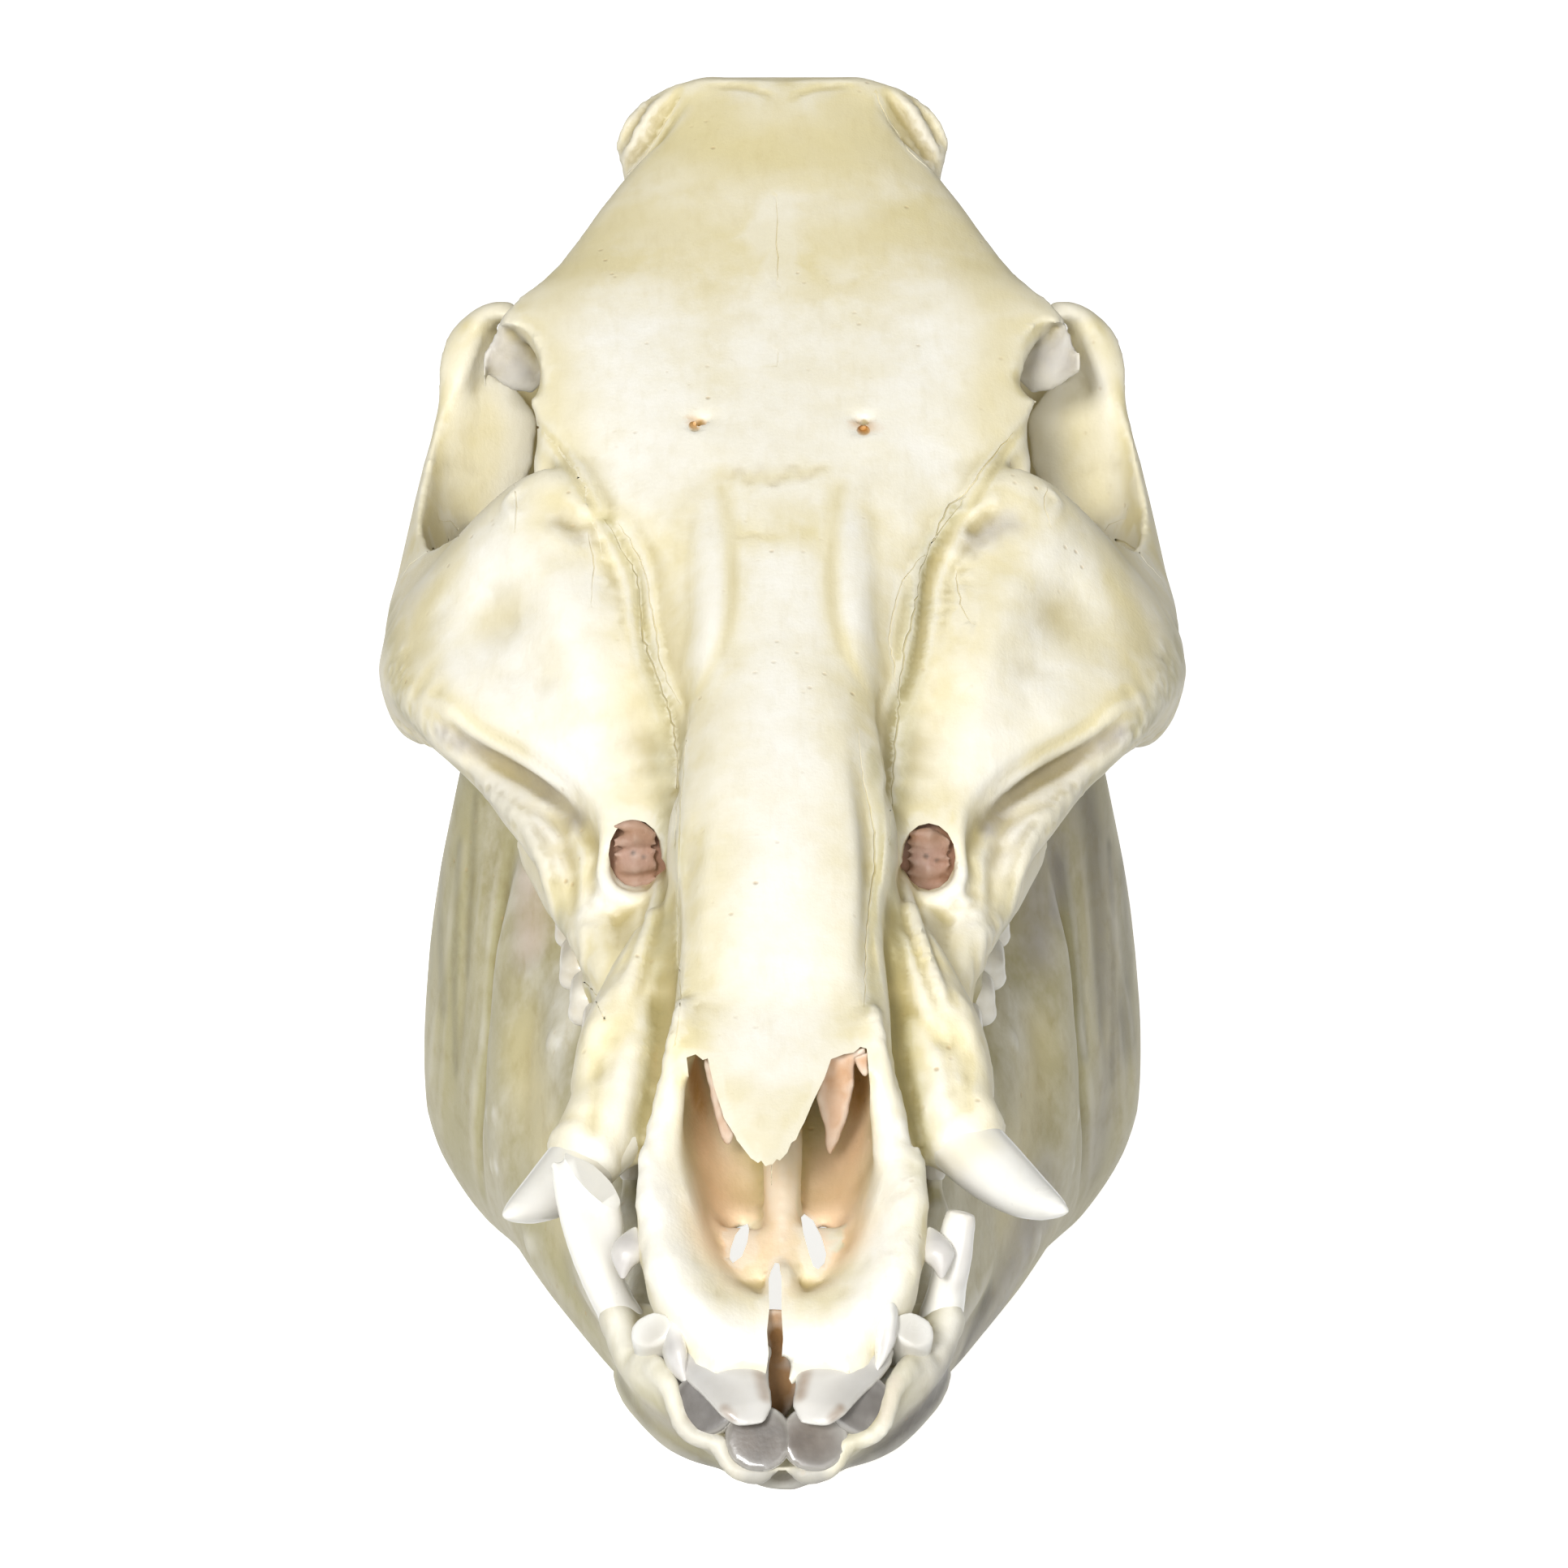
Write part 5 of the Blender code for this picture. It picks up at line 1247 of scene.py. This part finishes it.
def weathered_and_shaded(name, bump=0.35, coat=0.0, **settings):
    """A finished surface: the shared weathering, painted shade and painted light, with its own colours and
    amounts.
    """
    made = bpy.data.materials.new(name)
    made.use_nodes = True
    web = Web(made.node_tree)
    shader = made.node_tree.nodes["Principled BSDF"]
    group = web.node("ShaderNodeGroup", node_tree=weathering_and_shade)
    for label, value in settings.items():
        label = label.replace("_", " ")
        group.inputs[label].default_value = (*value, 1) if isinstance(value, tuple) else value
    web.put(shader.inputs["Base Color"], group.outputs["Base Color"])
    web.put(shader.inputs["Roughness"], group.outputs["Roughness"])
    shader.inputs["Coat Weight"].default_value = coat
    relief = web.node("ShaderNodeBump")
    relief.inputs["Strength"].default_value = bump
    relief.inputs["Distance"].default_value = 0.0006
    web.put(relief.inputs["Height"], group.outputs["Bump Height"])
    web.put(shader.inputs["Normal"], relief.outputs[0])
    return made


# Edges that bend more than this stay sharp.
SHARP_ANGLE = radians(55)
bone = weathered_and_shaded("dry_bone")
# The jaw's darker olive ground is partly its own tint and partly painted shade on plates that turn from the
# lamps.
jaw_bone = weathered_and_shaded("olive_jaw_bone", Ground=(0.46, 0.415, 0.25), Blotch=(0.36, 0.32, 0.17), Streaked=0.7,
                     Bleached=0.35)
enamel = weathered_and_shaded("tooth_enamel", 0.12, 0.3, Ground=(0.74, 0.735, 0.71), Blotch=(0.72, 0.69, 0.60),
                   Blotched=0.5, Bleached=0.5, Streaked=0.12, Hollow_shade=0.9, Ridge_bleach=0.4, Pitted=0.0,
                   Grain_height=0.3, Roughest=0.38)
tissue = weathered_and_shaded("dried_tissue", 0.6, 0.0, Ground=(0.58, 0.37, 0.24), Blotch=(0.46, 0.26, 0.13),
                   Blotched=0.8, Bleached=0.2, Streaked=0.3, Hollow_shade=1.0, Ridge_bleach=0.5, Pitted=0.3,
                   Roughest=0.75)
molar = weathered_and_shaded("cheek_enamel", 0.2, 0.2, Ground=(0.64, 0.62, 0.55), Blotch=(0.50, 0.41, 0.26),
                  Blotched=0.6, Bleached=0.5, Streaked=0.3, Hollow_shade=1.0, Ridge_bleach=0.5, Pitted=0.2,
                  Grain_height=0.4, Roughest=0.42)
nerve = weathered_and_shaded("dried_nerve", 0.6, 0.0, Ground=(0.38, 0.22, 0.155), Blotch=(0.29, 0.15, 0.10),
                  Blotched=0.8, Bleached=0.1, Streaked=0.3, Hollow_shade=1.0, Ridge_bleach=0.15, Pitted=0.2,
                  Roughest=0.75)
for piece, node in ((cranium, "cranium"), (mandible, "mandible")):
    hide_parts(node)
for pieces, material, slot in (
        ([cranium], bone, "bone"), ([mandible], jaw_bone, "bone"), (enamel_pieces, enamel, "tusk"),
        (tissue_pieces, tissue, "bone"), (nerve_pieces, nerve, "bone"), (cheek_pieces, molar, "tusk")):
    for piece in pieces:
        piece.data.materials.clear()
        piece.data.materials.append(material)
        piece.data.shade_smooth()
        piece.data.set_sharp_from_angle(angle=SHARP_ANGLE)
        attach(piece, "root")

# The floor: pale paper with a faint glow of its own, wide enough to fill the picture. The lamps: a
# broad sky, a soft front lamp on the animal's right above the camera, and a weak fill on its left.
FLOOR = 12.0
ground = bmesh.new()
bmesh.ops.create_grid(ground, x_segments=1, y_segments=1, size=FLOOR)
floor = piece_of(ground, "floor")
paper = bpy.data.materials.new("pale_floor")
paper.use_nodes = True
paper_shader = paper.node_tree.nodes["Principled BSDF"]
paper_shader.inputs["Base Color"].default_value = (0.95, 0.95, 0.95, 1.0)
paper_shader.inputs["Emission Color"].default_value = (1.0, 1.0, 1.0, 1.0)
paper_shader.inputs["Emission Strength"].default_value = 0.75
paper_shader.inputs["Roughness"].default_value = 0.9
floor.data.materials.append(paper)
floor.visible_diffuse = False


def soft_lamp(name, place, aim, size, power):
    """A round lamp of this size in metres at a place, aimed at the skull."""
    lamp = bpy.data.lights.new(name, "AREA")
    lamp.shape = "DISK"
    lamp.size = size
    lamp.energy = power
    stand = bpy.data.objects.new(name, lamp)
    stand.location = place
    stand.rotation_euler = (Vector(aim) - Vector(place)).to_track_quat("-Z", "Y").to_euler()
    bpy.context.scene.collection.objects.link(stand)


sun = bpy.data.lights.new("sky_panel", "SUN")
sun.energy = 0.75
sun.angle = radians(60)
panel = bpy.data.objects.new("sky_panel", sun)
panel.rotation_euler = (radians(58), radians(-10), radians(-6))
bpy.context.scene.collection.objects.link(panel)
soft_lamp("front_lamp", (-0.32, -1.25, 0.75), (0, 0, 0.11), 0.35, 15.5)
soft_lamp("fill_lamp", (0.22, -1.15, 0.34), (0, 0, 0.12), 0.7, 4.5)
world = bpy.data.worlds.new("studio")
bpy.context.scene.world = world
world.use_nodes = True
world.node_tree.nodes["Background"].inputs["Color"].default_value = (1, 0.99, 0.93, 1)
world.node_tree.nodes["Background"].inputs["Strength"].default_value = 0.33
